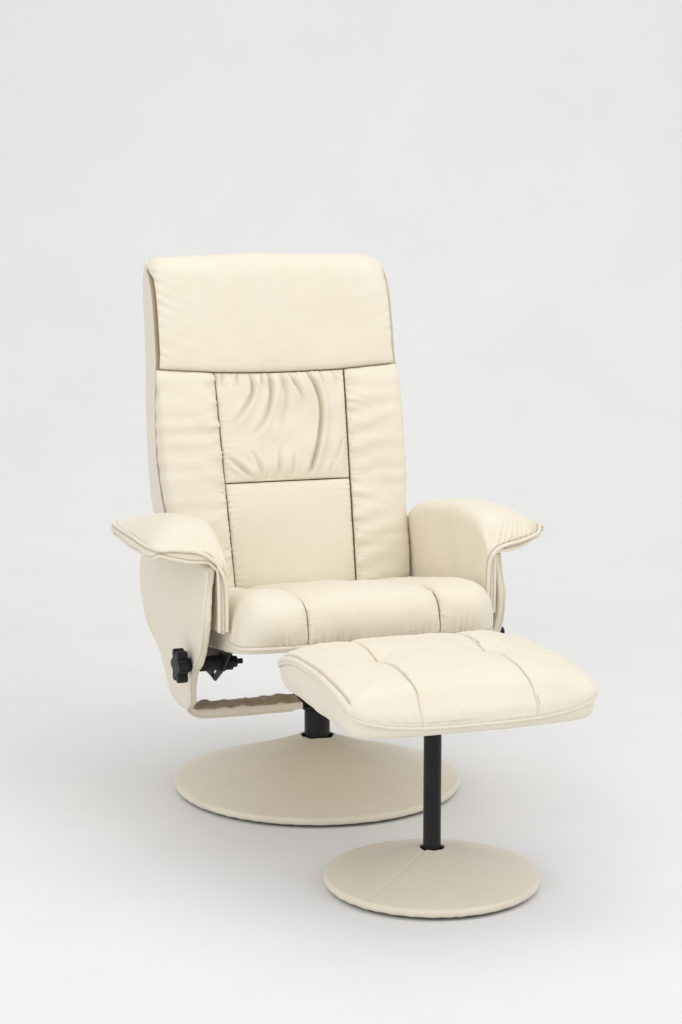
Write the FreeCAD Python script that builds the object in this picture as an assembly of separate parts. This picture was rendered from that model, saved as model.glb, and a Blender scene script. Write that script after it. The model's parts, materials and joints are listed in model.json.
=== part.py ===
"""Swivel recliner with footstool, in millimetres.

The chair faces -Y, +Z is up and the floor is z = 0. Left and right are as seen
from in front of the chair, so left is -X. Every piece is drawn about the swivel
axis and moved by set_shift when it is saved, which puts the origin under the
middle of the whole set.
"""
import FreeCAD, Part
import math
import os

# Whole set
set_shift = 206.5
cut_overrun = 4.0
seat_gap = 0.3
running_gap = 0.05
hole_gap = 0.1

# Round base of the chair
glide_height = 6.0
glide_radius = 11.0
glide_inset = 20.0
glide_count = 6
base_radius = 280.0
base_rim_height = 15.0
base_rim_round = 7.0
base_rim_share = 0.4
base_cone_height = 83.0
base_cone_sag = 4.0
base_collar_radius = 31.0
base_cover_wall = 4.0
base_plate_thickness = 5.0
base_plate_margin = 13.0
base_plate_ledge = 8.0

# Post of the chair with its swivel bearing
post_radius = 25.0
post_wall = 4.0
post_top = 154.0
post_flange_radius = 72.0
post_flange_thickness = 6.0
flange_bolt_count = 4
flange_bolt_inset = 14.0
flange_bolt_radius = 4.0
flange_bolt_head_radius = 7.0
flange_bolt_head_height = 5.0
bush_length = 90.0
bush_flange_thickness = 3.0
bush_flange_radius = 24.0
spindle_radius = 15.0
spindle_tail = 8.0
thrust_washer_radius = 22.0
thrust_washer_thickness = 2.0
spindle_shoulder_height = 5.0
retaining_ring_radius = 19.0
retaining_ring_thickness = 3.0

# Crossbar that carries the two side frames
swivel_plate_half_width = 38.0
swivel_plate_half_depth = 35.0
swivel_plate_thickness = 6.0
crossbar_inset = 51.0
crossbar_half_depth = 27.0
crossbar_thickness = 8.0
clamp_plate_thickness = 5.0
crossbar_bolt_half_span = 24.0
crossbar_bolt_depth_share = 0.6
crossbar_bolt_radius = 4.0
crossbar_bolt_head_radius = 7.0
crossbar_bolt_head_height = 4.0

# Upholstered side frames, each a strip under the seat that turns up into a panel
strip_start = 40.0
strip_skin = 5.0
strip_half_depth = 35.0
panel_gap = 1.0
panel_thickness = 16.0
panel_bow = 13.0
panel_corner_radius = 48.0
panel_inner_corner_radius = 24.0
panel_top_margin = 39.0
panel_front = 239.0
panel_rear = 240.0
panel_front_shares = ((0.42, 0.148), (0.51, 0.26), (0.67, 0.38), (0.90, 0.52), (1.0, 0.80), (0.98, 1.0))
panel_rear_shares = ((0.28, 0.13), (0.34, 0.287), (0.52, 0.385), (0.86, 0.524), (1.0, 0.70), (0.985, 1.0))

# Armrest pads, a leg inside the panel and a wing over it
arm_gap = 13.0
arm_leg_thickness = 15.0
arm_leg_drop = 119.0
arm_wing_overhang = 106.0
arm_tip_rise = 36.0
arm_crest_rise = 38.0
arm_tip_thickness = 17.0
arm_crown_radius = 26.0
arm_crown_share = 0.8
arm_bulge_share = 0.3
arm_tip_nose_share = 0.55
arm_tip_under_share = 0.7
arm_under_share = 0.6
arm_shelf = 22.0
arm_leg_front = 252.0
arm_leg_rear = 166.0
arm_tip_front = 217.0
arm_tip_rear = 116.0
arm_station_shares = (0.0, 0.05, 0.16, 0.35, 0.60, 0.84, 0.95, 1.0)
arm_height_shares = (0.21, 0.54, 0.89, 1.0, 0.87, 0.645, 0.50, 0.25)
arm_reach_shares = (0.95, 0.99, 1.0, 1.0, 1.0, 0.995, 0.975, 0.91)
arm_bolt_radius = 4.0
arm_bolt_drop = 64.0
arm_bolt_places = (-150.0, 60.0)
arm_bolt_depth = 9.0

# Recline linkage
lean_angle = 14.3
recline_angle = 28.0
seat_tilt_share = 0.1
pivot_y = 212.0
pivot_z = 455.0
hinge_forward = 12.0
hinge_drop = 105.0
link_gap = 1.0
pivot_bolt_radius = 6.0
pivot_bolt_head_radius = 11.0
pivot_bolt_head_height = 5.0
pivot_bolt_end_share = 0.5
pivot_sleeve_wall = 3.0
bracket_thickness = 4.0
bracket_boss_radius = 17.0
bracket_foot_radius = 14.0
bracket_tail = 80.0
bracket_tail_half_width = 14.0
bracket_screw_radius = 3.0
bracket_screw_length = 24.0
bracket_screw_head_radius = 5.0
bracket_screw_head_height = 2.5
bracket_screw_share = 0.45
hinge_pin_radius = 5.0
hinge_pin_head_radius = 8.0
hinge_pin_head_height = 3.0

# Clamp that holds the recline, worked by a knob on each side
clamp_forward = 362.0
clamp_drop = 155.0
clamp_bolt_radius = 5.0
clamp_bolt_tail = 11.2
slot_gap = 0.6
friction_washer_radius = 17.0
friction_washer_thickness = 2.5
clamp_sleeve_radius = 14.0
clamp_block_radius = 15.0
clamp_block_length = 15.0
lock_nut_across = 19.0
lock_nut_length = 9.0
knob_radius = 33.0
knob_lobe_radius = 9.0
knob_lobe_count = 6
knob_thickness = 20.0
knob_hub_radius = 13.0
knob_hub_length = 9.0
knob_edge_round = 3.0
knob_insert_radius = 8.5
knob_cap_thickness = 5.0

# Seat, drawn level from its lower front edge and tipped back by seat_slope
seat_rear_gap = 15.8
seat_rear_drop = 67.0
seat_slope = 8.5
seat_half_width = 233.0
seat_depth = 440.0
seat_front_band = 10.0
seat_side_height = 66.0
seat_arch_run = 95.0
seat_arch_shares = (0.32, 0.62)
seat_front_bow = 8.0
seat_corner_radius = 46.0
seat_board_thickness = 12.0
seat_board_margin = 30.0
seat_crest = 109.0
seat_nose = 22.0
seat_cushion_overhang = 6.0
seat_channel_share = 0.54
seat_channel_depth = 13.0
seat_edge_drop = 24.0
seat_station_shares = (-1.0, -0.75, -0.2, 0.06, 0.18, 0.5, 0.82, 0.985)
seat_low_shares = (0.40, 0.22, 0.10, 0.09, 0.09, 0.09, 0.09, 0.09)
seat_crest_shares = (0.56, 0.74, 0.91, 0.985, 1.0, 0.97, 0.95, 0.90)
seat_width_shares = (0.87, 0.93, 0.975, 0.99, 1.0, 1.0, 0.99, 0.97)
rail_gap = 1.0
rail_thickness = 4.0
rail_flange_width = 30.0
rail_flange_front_share = 0.30
rail_flange_rear_share = 0.94
rail_front_reach = 26.0
rail_drop = 18.0
rail_slot_wall = 7.0
rail_slot_end_shares = (0.7, 0.6)
rail_eye_share = 0.5
rail_screw_radius = 3.0
rail_screw_length = 12.0
rail_screw_head_radius = 5.5
rail_screw_head_height = 3.0
rail_screw_shares = (0.12, 0.5, 0.88)

# Back, drawn upright from its lower front edge and leaned by lean_angle
back_foot_forward = 81.0
back_foot_drop = 70.0
back_low = 14.0
back_height = 677.0
back_overhang = 17.0
back_shell_front = 44.0
back_shell_depth = 118.0
back_shell_corner = 34.0
back_shell_corner_share = 0.6
back_shell_bow = 6.0
back_shell_station_shares = (0.0, 0.16, 0.45, 0.66, 0.83, 0.945, 0.985)
back_shell_depth_shares = (0.90, 1.0, 0.94, 0.78, 0.60, 0.52, 0.34)
back_shell_width_shares = (0.965, 0.98, 1.0, 1.0, 0.995, 0.975, 0.915)
back_recess_gap = 3.0
back_recess_depth = 96.0
back_board_thickness = 12.0
back_board_top = 600.0
back_head_seam = 425.0
back_middle_seam = 203.0
back_seam_top_share = 0.555
back_seam_low_share = 0.51
back_seam_gap = 1.0
back_cushion_inset = 2.0
back_head_crown = 16.0
back_bolster_crown = 17.0
back_upper_crown = 12.0
back_lower_crown = 9.0
back_seam_sink = 8.0
back_outer_sink = 26.0
head_station_shares = (0.0, 0.10, 0.42, 0.72, 0.90, 0.97, 1.0)
head_crown_shares = (-0.2, 0.45, 0.85, 1.0, 0.55, -0.35, -1.3)
head_edge_shares = (1.1, 0.75, 0.55, 0.55, 0.95, 1.7, 3.1)
head_width_shares = (0.985, 0.995, 1.0, 1.0, 0.985, 0.95, 0.885)
pad_station_shares = (0.0, 0.12, 0.5, 0.88, 1.0)
pad_crown_shares = (-0.3, 0.75, 1.0, 0.75, -0.3)
pad_width_shares = (0.94, 0.98, 1.0, 0.995, 0.98)

# Sewn channels of the two cushions
channel_edge_share = 0.5
channel_floor_share = 0.45
channel_rise_share = 0.75
channel_swell_share = 0.012

# Footstool
stool_y = -608.0
stool_base_radius = 183.0
stool_cone_height = 45.0
stool_cone_sag = 2.0
stool_collar_radius = 20.0
stool_glide_count = 5
stool_post_radius = 15.0
stool_post_wall = 2.5
stool_flange_radius = 52.0
stool_plate_half_width = 80.0
stool_plate_thickness = 4.0
stool_plate_corner_radius = 12.0
stool_bottom = 313.0
stool_half_width = 214.0
stool_half_depth = 190.0
stool_bow = 13.0
stool_corner_radius = 38.0
stool_band = 32.0
stool_arch = 62.0
stool_board_thickness = 12.0
stool_board_margin = 34.0
stool_crest = 102.0
stool_nose = 13.0
stool_cushion_half_width = 217.0
stool_channel_half_span = 97.0
stool_channel_depth = 15.0
stool_edge_drop = 20.0
stool_station_shares = (-1.0, -0.965, -0.87, -0.6, 0.0, 0.6, 0.87, 0.965, 1.0)
stool_low_shares = (0.44, 0.32, 0.28, 0.28, 0.28, 0.28, 0.28, 0.32, 0.44)
stool_crest_shares = (0.58, 0.74, 0.88, 0.97, 1.0, 0.97, 0.88, 0.74, 0.58)
stool_width_shares = (0.88, 0.945, 0.985, 0.998, 1.0, 0.998, 0.985, 0.945, 0.88)
stool_tuft_shares = (1.0, 1.0, 1.0, 1.1, 1.8, 1.1, 1.0, 1.0, 1.0)
stool_screw_inset = 14.0
stool_screw_radius = 3.0
stool_screw_length = 10.0
stool_screw_head_radius = 5.5
stool_screw_head_height = 3.0

# Sizes that follow from the ones above
rail_inner = seat_half_width + rail_gap
bracket_inner = rail_inner - link_gap - bracket_thickness
arm_inner = rail_inner + rail_thickness + arm_gap
arm_leg_outer = arm_inner + arm_leg_thickness
panel_outer = arm_leg_outer + panel_gap + panel_thickness
arm_wing_reach = panel_outer + arm_wing_overhang
crossbar_half_length = panel_outer - crossbar_inset
hinge_y = pivot_y - hinge_forward
hinge_z = pivot_z - hinge_drop
clamp_y = pivot_y - clamp_forward
clamp_z = pivot_z - clamp_drop
panel_top = pivot_z + panel_top_margin
arm_leg_bottom = panel_top - arm_leg_drop
arm_tip_height = panel_top + arm_tip_rise
arm_crest = arm_tip_height + arm_crest_rise
arm_bolt_height = panel_top - arm_bolt_drop
back_foot_y = pivot_y - back_foot_forward
back_foot_z = pivot_z - back_foot_drop
back_half_width = seat_half_width + back_overhang
back_cushion_half_width = back_half_width - back_cushion_inset
back_board_half_width = bracket_inner - bracket_screw_length
seat_cushion_half_width = seat_half_width + seat_cushion_overhang
seat_channel_half_span = seat_half_width * seat_channel_share
seat_front = seat_depth * math.cos(math.radians(seat_slope)) - back_foot_y + seat_rear_gap
seat_bottom = hinge_z - seat_rear_drop + seat_depth * math.sin(math.radians(seat_slope))

UP = FreeCAD.Vector(0, 0, 1)
ACROSS = FreeCAD.Vector(1, 0, 0)
DEPTH = FreeCAD.Vector(0, 1, 0)
ORIGIN = FreeCAD.Vector(0, 0, 0)


# Drawing helpers

def point(x, y, z):
    return FreeCAD.Vector(x, y, z)


def line(start, end):
    return Part.LineSegment(start, end).toShape()


def arc(start, middle, end):
    return Part.Arc(start, middle, end).toShape()


def face(edges):
    return Part.Face(Part.Wire(edges))


def polygon(points):
    return Part.Face(Part.makePolygon(list(points) + [points[0]]))


def box(low, high):
    size = high - low
    return Part.makeBox(size.x, size.y, size.z, low)


def ring(outer, inner, height, place, axis=UP):
    body = Part.makeCylinder(outer, height, place, axis)
    bore = Part.makeCylinder(inner, height + 2 * cut_overrun, place - axis * cut_overrun, axis)
    return body.cut(bore)


def mirrored(shape):
    return shape.mirror(ORIGIN, ACROSS)


def both(shape):
    return Part.makeCompound([shape, mirrored(shape)])


def headed_pin(place, axis, radius, length, head_radius, head_height):
    """Pin from place along axis, with its head behind place."""
    shank = Part.makeCylinder(radius, length, place, axis)
    head = Part.makeCylinder(head_radius, head_height, place - axis * head_height, axis)
    return shank.fuse(head)


def on_circle(count, radius, height, centre_y=0.0, turn_share=0.5):
    """Evenly spaced places on a circle round an upright axis."""
    for step in range(count):
        angle = 2 * math.pi * (step + turn_share) / count
        yield point(radius * math.sin(angle), centre_y - radius * math.cos(angle), height)


def blend(low, high, share):
    return low + (high - low) * share


def corner_slack(radius):
    """How far the middle of a quarter round stays short of the square corner, on each side."""
    return radius * (1 - math.sqrt(0.5))


# Round bases, shared by the chair and the footstool

def base_cover(radius, cone_height, cone_sag, collar_radius):
    """Covered cone with a rounded rim, seated on the base plate."""
    bottom = glide_height
    shoulder = bottom + base_rim_height
    top = shoulder + cone_height
    plate_edge = radius - base_plate_margin + seat_gap
    ledge = plate_edge - base_plate_ledge
    plate_top = bottom + base_plate_thickness
    rim = radius - base_rim_round
    rim_middle = point(radius, 0, blend(bottom, shoulder, base_rim_share))
    middle = point(blend(rim, collar_radius, 0.5), 0, blend(shoulder, top, 0.5) - cone_sag)
    edges = [
        arc(point(rim, 0, bottom), rim_middle, point(rim, 0, shoulder)),
        arc(point(rim, 0, shoulder), middle, point(collar_radius, 0, top)),
        line(point(collar_radius, 0, top), point(collar_radius, 0, top - base_cover_wall)),
        line(point(collar_radius, 0, top - base_cover_wall), point(ledge, 0, plate_top)),
        line(point(ledge, 0, plate_top), point(plate_edge, 0, plate_top)),
        line(point(plate_edge, 0, plate_top), point(plate_edge, 0, bottom)),
        line(point(plate_edge, 0, bottom), point(rim, 0, bottom)),
    ]
    return face(edges).revolve(ORIGIN, UP, 360)


def base_plate(radius, bolts):
    plate = Part.makeCylinder(radius - base_plate_margin, base_plate_thickness, UP * glide_height)
    return plate.cut(Part.makeCompound(bolts))


def base_glides(radius, count):
    places = on_circle(count, radius - glide_inset - glide_radius, 0)
    return Part.makeCompound([Part.makeCylinder(glide_radius, glide_height, place) for place in places])


def flange_bolts(flange_radius, growth=0.0):
    """Bolts that hold a post's flange on its base plate."""
    flange_top = glide_height + base_plate_thickness + post_flange_thickness
    length = base_plate_thickness + post_flange_thickness
    places = on_circle(flange_bolt_count, flange_radius - flange_bolt_inset, flange_top)
    return [headed_pin(place, -UP, flange_bolt_radius + growth, length,
                       flange_bolt_head_radius, flange_bolt_head_height) for place in places]


def flanged_post(radius, wall, top, flange_radius):
    """Tube welded on a round flange, open at the top."""
    foot = glide_height + base_plate_thickness
    flange = Part.makeCylinder(flange_radius, post_flange_thickness, UP * foot)
    tube = Part.makeCylinder(radius, top - foot, UP * foot)
    floor = foot + post_flange_thickness
    bore = Part.makeCylinder(radius - wall, top - floor + cut_overrun, UP * floor)
    holes = Part.makeCompound(flange_bolts(flange_radius, hole_gap))
    return flange.fuse(tube).cut(bore).cut(holes)


# Swivel bearing and crossbar

bearing_top = post_top + bush_flange_thickness
washer_top = bearing_top + thrust_washer_thickness
swivel_plate_low = washer_top + spindle_shoulder_height
crossbar_low = swivel_plate_low + swivel_plate_thickness
crossbar_high = crossbar_low + crossbar_thickness
strip_low = crossbar_low - strip_skin
strip_high = crossbar_high + strip_skin


def swivel_bush():
    barrel_radius = post_radius - post_wall - running_gap
    barrel = Part.makeCylinder(barrel_radius, bush_length, UP * (post_top - bush_length))
    flange = Part.makeCylinder(bush_flange_radius, bush_flange_thickness, UP * post_top)
    bore_length = bush_length + bush_flange_thickness + 2 * cut_overrun
    bore = Part.makeCylinder(spindle_radius + running_gap, bore_length,
                             UP * (post_top - bush_length - cut_overrun))
    return barrel.fuse(flange).cut(bore)


def swivel_spindle():
    foot = post_top - bush_length - spindle_tail
    shaft = Part.makeCylinder(spindle_radius, swivel_plate_low - foot, UP * foot)
    shoulder = Part.makeCylinder(thrust_washer_radius, spindle_shoulder_height - seat_gap,
                                 UP * (washer_top + seat_gap))
    return shaft.fuse(shoulder)


def crossbar_bolts(growth=0.0):
    length = swivel_plate_thickness + crossbar_thickness + clamp_plate_thickness
    top = crossbar_high + clamp_plate_thickness
    reach = crossbar_half_depth * crossbar_bolt_depth_share
    places = [point(sx * crossbar_bolt_half_span, sy * reach, top)
              for sx in (-1, 1) for sy in (-1, 1)]
    return [headed_pin(place, -UP, crossbar_bolt_radius + growth, length,
                       crossbar_bolt_head_radius, crossbar_bolt_head_height) for place in places]


def crossbar_plate(half_width, half_depth, low, high):
    plate = box(point(-half_width, -half_depth, low), point(half_width, half_depth, high))
    return plate.cut(Part.makeCompound(crossbar_bolts(hole_gap)))


# Side frames, drawn on the right and mirrored

def panel_outline(sign, reach, shares):
    """Points of one edge of the goblet shape, from the strip up to the panel's top."""
    height = panel_top - strip_low
    return [point(0, sign * reach * out, strip_low + height * up) for out, up in shares]


def goblet_face():
    front = panel_outline(-1, panel_front, panel_front_shares)
    rear = panel_outline(1, panel_rear, panel_rear_shares)
    low = (point(0, -strip_half_depth, strip_low), point(0, strip_half_depth, strip_low))
    high = (point(0, -strip_half_depth, strip_high), point(0, strip_half_depth, strip_high))
    edges = [
        line(low[0], low[1]),
        line(low[1], high[1]),
        line(high[1], rear[0]),
        arc(rear[0], rear[1], rear[2]),
        arc(rear[2], rear[3], rear[4]),
        line(rear[4], rear[5]),
        line(rear[5], front[5]),
        line(front[5], front[4]),
        arc(front[4], front[3], front[2]),
        arc(front[2], front[1], front[0]),
        line(front[0], high[0]),
        line(high[0], low[0]),
    ]
    return face(edges)


def corner_arc(centre_x, centre_z, radius, start, end):
    """Arc in the XZ plane through the lower right quarter of a circle."""
    diagonal = radius * math.sqrt(0.5)
    return arc(start, point(centre_x + diagonal, start.y, centre_z - diagonal), end)


def panel_bow_at(height):
    """How far the bowed panel stands out at a height."""
    low = strip_low + panel_corner_radius
    middle = blend(low, panel_top, 0.5)
    half = panel_top - middle
    radius = (half * half + panel_bow * panel_bow) / (2 * panel_bow)
    return math.sqrt(radius * radius - (height - middle) ** 2) - (radius - panel_bow)


def bent_board_face(y):
    """Strip, round corner and bowed panel in one XZ outline."""
    outer = panel_outer
    inner = panel_outer - panel_thickness
    turn = panel_corner_radius
    inner_turn = panel_inner_corner_radius
    bend = strip_low + turn
    inner_bend = strip_high + inner_turn
    middle = blend(bend, panel_top, 0.5)
    edges = [
        line(point(strip_start, y, strip_low), point(outer - turn, y, strip_low)),
        corner_arc(outer - turn, bend, turn, point(outer - turn, y, strip_low), point(outer, y, bend)),
        arc(point(outer, y, bend), point(outer + panel_bow, y, middle), point(outer, y, panel_top)),
        line(point(outer, y, panel_top), point(inner, y, panel_top)),
        arc(point(inner, y, panel_top), point(inner + panel_bow, y, middle), point(inner, y, inner_bend)),
        corner_arc(inner - inner_turn, inner_bend, inner_turn,
                   point(inner, y, inner_bend), point(inner - inner_turn, y, strip_high)),
        line(point(inner - inner_turn, y, strip_high), point(strip_start, y, strip_high)),
        line(point(strip_start, y, strip_high), point(strip_start, y, strip_low)),
    ]
    return face(edges)


def side_frame():
    reach = panel_outer + panel_bow + cut_overrun
    outline = goblet_face().extrude(ACROSS * reach)
    board = bent_board_face(-panel_front - cut_overrun)
    board = board.extrude(DEPTH * (panel_front + panel_rear + 2 * cut_overrun))
    pocket = box(point(0, -crossbar_half_depth, crossbar_low),
                 point(crossbar_half_length, crossbar_half_depth, crossbar_high))
    bolt_hole = Part.makeCylinder(clamp_bolt_radius + hole_gap, reach, point(0, clamp_y, clamp_z), ACROSS)
    pivot_hole = Part.makeCylinder(pivot_bolt_radius + hole_gap, reach, point(0, pivot_y, pivot_z), ACROSS)
    holes = Part.makeCompound([bolt_hole, pivot_hole] + arm_bolts(hole_gap))
    return outline.common(board).cut(pocket).cut(holes)


# Armrest pads

def arm_section(station, height_share, reach_share):
    """Outline of leg and wing, on an upright plane that slants back towards the tip."""
    leg_y = blend(-arm_leg_front, arm_leg_rear, station)
    tip_y = blend(-arm_tip_front, arm_tip_rear, station)
    slant = (tip_y - leg_y) / (arm_wing_reach - arm_inner)
    shelf = panel_top + seat_gap
    crest = blend(shelf, arm_crest, height_share)
    tip = arm_wing_reach * reach_share
    tip_under = arm_tip_height - arm_tip_thickness
    shelf_end = panel_outer + arm_shelf
    crown = min(arm_crown_radius, (crest - shelf) * arm_crown_share)
    slack = corner_slack(crown)

    def at(x, z):
        return point(x, leg_y + slant * (x - arm_inner), z)

    low_inner = at(arm_inner, arm_leg_bottom)
    shoulder = at(arm_inner, crest - crown)
    crown_middle = at(arm_inner + slack, crest - slack)
    top = at(arm_inner + crown, crest)
    tip_top = at(tip - arm_tip_thickness * 0.5, arm_tip_height)
    bulge = (max(crest - arm_tip_height, 0) + arm_tip_thickness) * arm_bulge_share
    wing_middle = at(blend(arm_inner + crown, tip, 0.5), blend(crest, arm_tip_height, 0.5) + bulge)
    tip_end = at(tip, arm_tip_height - arm_tip_thickness * arm_tip_nose_share)
    tip_low = at(tip - arm_tip_thickness * arm_tip_under_share, tip_under)
    shelf_outer = at(shelf_end, shelf)
    under_middle = at(blend(tip, shelf_end, 0.5), blend(tip_under, shelf, arm_under_share))
    leg_high = at(arm_leg_outer, shelf)
    leg_low = at(arm_leg_outer, arm_leg_bottom)
    return Part.Wire([
        line(low_inner, shoulder),
        arc(shoulder, crown_middle, top),
        arc(top, wing_middle, tip_top),
        arc(tip_top, tip_end, tip_low),
        arc(tip_low, under_middle, shelf_outer),
        line(shelf_outer, leg_high),
        line(leg_high, leg_low),
        line(leg_low, low_inner),
    ])


def arm_bolts(growth=0.0):
    """Bolts from inside the leg of the pad into the side panel."""
    start = blend(arm_inner, arm_leg_outer, 0.5)
    length = panel_outer + panel_bow_at(arm_bolt_height) - arm_bolt_depth - start
    return [Part.makeCylinder(arm_bolt_radius + growth, length, point(start, y, arm_bolt_height), ACROSS)
            for y in arm_bolt_places]


def arm_pad():
    stations = zip(arm_station_shares, arm_height_shares, arm_reach_shares)
    pad = Part.makeLoft([arm_section(*station) for station in stations], True, False)
    sleeve_radius = pivot_bolt_radius + pivot_sleeve_wall + hole_gap
    sleeve = Part.makeCylinder(sleeve_radius, arm_leg_outer, point(0, pivot_y, pivot_z), ACROSS)
    return pad.cut(sleeve).cut(Part.makeCompound(arm_bolts(hole_gap)))


# Recline linkage: places seen from the seat as the back leans

def turned(y, z, angle):
    """A place turned about the X axis so that what stands up leans to the rear."""
    radians = math.radians(angle)
    return (y * math.cos(radians) + z * math.sin(radians), z * math.cos(radians) - y * math.sin(radians))


def clamp_from_seat(angle):
    """Where the clamp bolt is, in the seat's rest frame, when the back has leaned by angle."""
    move_y, move_z = turned(hinge_y - pivot_y, hinge_z - pivot_z, angle)
    from_hinge_y = clamp_y - pivot_y - move_y
    from_hinge_z = clamp_z - pivot_z - move_z
    seat_y, seat_z = turned(from_hinge_y, from_hinge_z, -seat_tilt_share * angle)
    return point(0, hinge_y + seat_y, hinge_z + seat_z)


def slot_face(half_width):
    """Curved slot along the clamp bolt's path, with round ends."""
    start, middle, end = [clamp_from_seat(recline_angle * share) for share in (0, 0.5, 1)]
    centre = arc(start, middle, end).Curve.Center

    def beside(place, offset):
        return place + (place - centre).normalize() * offset

    def beyond(place, other):
        radial = (place - centre).normalize()
        along = radial.cross(ACROSS).normalize()
        if along.dot(place - other) < 0:
            along = -along
        return place + along * half_width

    return face([
        arc(beside(start, half_width), beside(middle, half_width), beside(end, half_width)),
        arc(beside(end, half_width), beyond(end, start), beside(end, -half_width)),
        arc(beside(end, -half_width), beside(middle, -half_width), beside(start, -half_width)),
        arc(beside(start, -half_width), beyond(start, end), beside(start, half_width)),
    ])


def linked_bosses(first, first_radius, second, second_radius):
    """Two round bosses joined by their outer tangents, in the YZ plane."""
    span = second - first
    length = span.Length
    along = span.normalize()
    side = along.cross(ACROSS)
    lean = (first_radius - second_radius) / length
    rise = math.sqrt(1 - lean * lean)
    reach = [along * lean + side * (rise * sign) for sign in (1, -1)]
    corners = [first + reach[0] * first_radius, second + reach[0] * second_radius,
               second + reach[1] * second_radius, first + reach[1] * first_radius]
    return face([
        line(corners[0], corners[1]),
        arc(corners[1], second + along * second_radius, corners[2]),
        line(corners[2], corners[3]),
        arc(corners[3], first - along * first_radius, corners[0]),
    ])


pivot_place = point(0, pivot_y, pivot_z)
hinge_place = point(0, hinge_y, hinge_z)
lean_y, lean_z = turned(0, 1, lean_angle)
back_up = point(0, lean_y, lean_z)
tail_place = pivot_place + back_up * bracket_tail


def bracket_screws(growth=0.0):
    """Screws that hold the bracket's tail to the side of the back."""
    outside = bracket_inner + bracket_thickness
    places = [pivot_place + back_up * bracket_tail * share for share in (bracket_screw_share, 1)]
    return [headed_pin(place + ACROSS * outside, -ACROSS, bracket_screw_radius + growth,
                       bracket_screw_length, bracket_screw_head_radius, bracket_screw_head_height)
            for place in places]


def back_bracket():
    foot = linked_bosses(pivot_place, bracket_boss_radius, hinge_place, bracket_foot_radius)
    tail = linked_bosses(pivot_place, bracket_boss_radius, tail_place, bracket_tail_half_width)
    plate = foot.extrude(ACROSS * bracket_thickness).fuse(tail.extrude(ACROSS * bracket_thickness))
    plate.translate(ACROSS * bracket_inner)
    through = bracket_inner + bracket_thickness + cut_overrun
    pivot_hole = Part.makeCylinder(pivot_bolt_radius + running_gap, through, pivot_place, ACROSS)
    hinge_hole = Part.makeCylinder(hinge_pin_radius + running_gap, through, hinge_place, ACROSS)
    return plate.removeSplitter().cut(Part.makeCompound([pivot_hole, hinge_hole] + bracket_screws(hole_gap)))


def pivot_bolt():
    """Bolt from the panel's outside through to the bracket of the back."""
    head_place = panel_outer + panel_bow_at(pivot_z - pivot_bolt_head_radius)
    inner_end = bracket_inner - pivot_bolt_head_height * pivot_bolt_end_share
    place = pivot_place + ACROSS * head_place
    return headed_pin(place, -ACROSS, pivot_bolt_radius, head_place - inner_end,
                      pivot_bolt_head_radius, pivot_bolt_head_height)


def pivot_sleeve():
    start = bracket_inner + bracket_thickness + seat_gap
    radius = pivot_bolt_radius + pivot_sleeve_wall
    end = panel_outer - panel_thickness + panel_bow_at(pivot_z + radius) - hole_gap
    return ring(radius, pivot_bolt_radius + running_gap, end - start, pivot_place + ACROSS * start, ACROSS)


def hinge_pin():
    """Pin that joins the seat rail to the foot of the back bracket."""
    outside = rail_inner + rail_thickness
    inner_end = bracket_inner - hinge_pin_head_height
    return headed_pin(hinge_place + ACROSS * outside, -ACROSS, hinge_pin_radius, outside - inner_end,
                      hinge_pin_head_radius, hinge_pin_head_height)


# Clamp on each side, from the knob outside the panel to the nut under the seat

clamp_place = point(0, clamp_y, clamp_z)
clamp_panel_outer = panel_outer + panel_bow_at(clamp_z + knob_hub_radius)
clamp_panel_inner = panel_outer - panel_thickness + panel_bow_at(clamp_z - clamp_sleeve_radius)
outer_washer_start = rail_inner + rail_thickness + seat_gap
inner_washer_start = rail_inner - seat_gap - friction_washer_thickness
clamp_block_start = inner_washer_start - clamp_block_length
lock_nut_start = clamp_block_start - lock_nut_length
knob_start = clamp_panel_outer + seat_gap
knob_disc_start = knob_start + knob_hub_length
knob_end = knob_disc_start + knob_thickness


def on_clamp(outer, length, start):
    """Ring on the clamp bolt from start outwards."""
    return ring(outer, clamp_bolt_radius + running_gap, length, clamp_place + ACROSS * start, ACROSS)


def clamp_bolt():
    end = knob_end - knob_cap_thickness - seat_gap
    start = lock_nut_start - clamp_bolt_tail
    return Part.makeCylinder(clamp_bolt_radius, end - start, clamp_place + ACROSS * start, ACROSS)


def friction_washers():
    starts = (inner_washer_start, outer_washer_start)
    return Part.makeCompound([on_clamp(friction_washer_radius, friction_washer_thickness, start)
                              for start in starts])


def clamp_sleeve():
    start = outer_washer_start + friction_washer_thickness
    return on_clamp(clamp_sleeve_radius, clamp_panel_inner - hole_gap - start, start)


def lock_nut():
    corner = lock_nut_across / math.sqrt(3)
    corners = []
    for step in range(6):
        angle = math.pi * step / 3
        around = point(lock_nut_start, corner * math.cos(angle), corner * math.sin(angle))
        corners.append(clamp_place + around)
    nut = polygon(corners).extrude(ACROSS * lock_nut_length)
    return nut.cut(Part.makeCylinder(clamp_bolt_radius + running_gap, lock_nut_length + 2 * cut_overrun,
                                     clamp_place + ACROSS * (lock_nut_start - cut_overrun), ACROSS))


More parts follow.
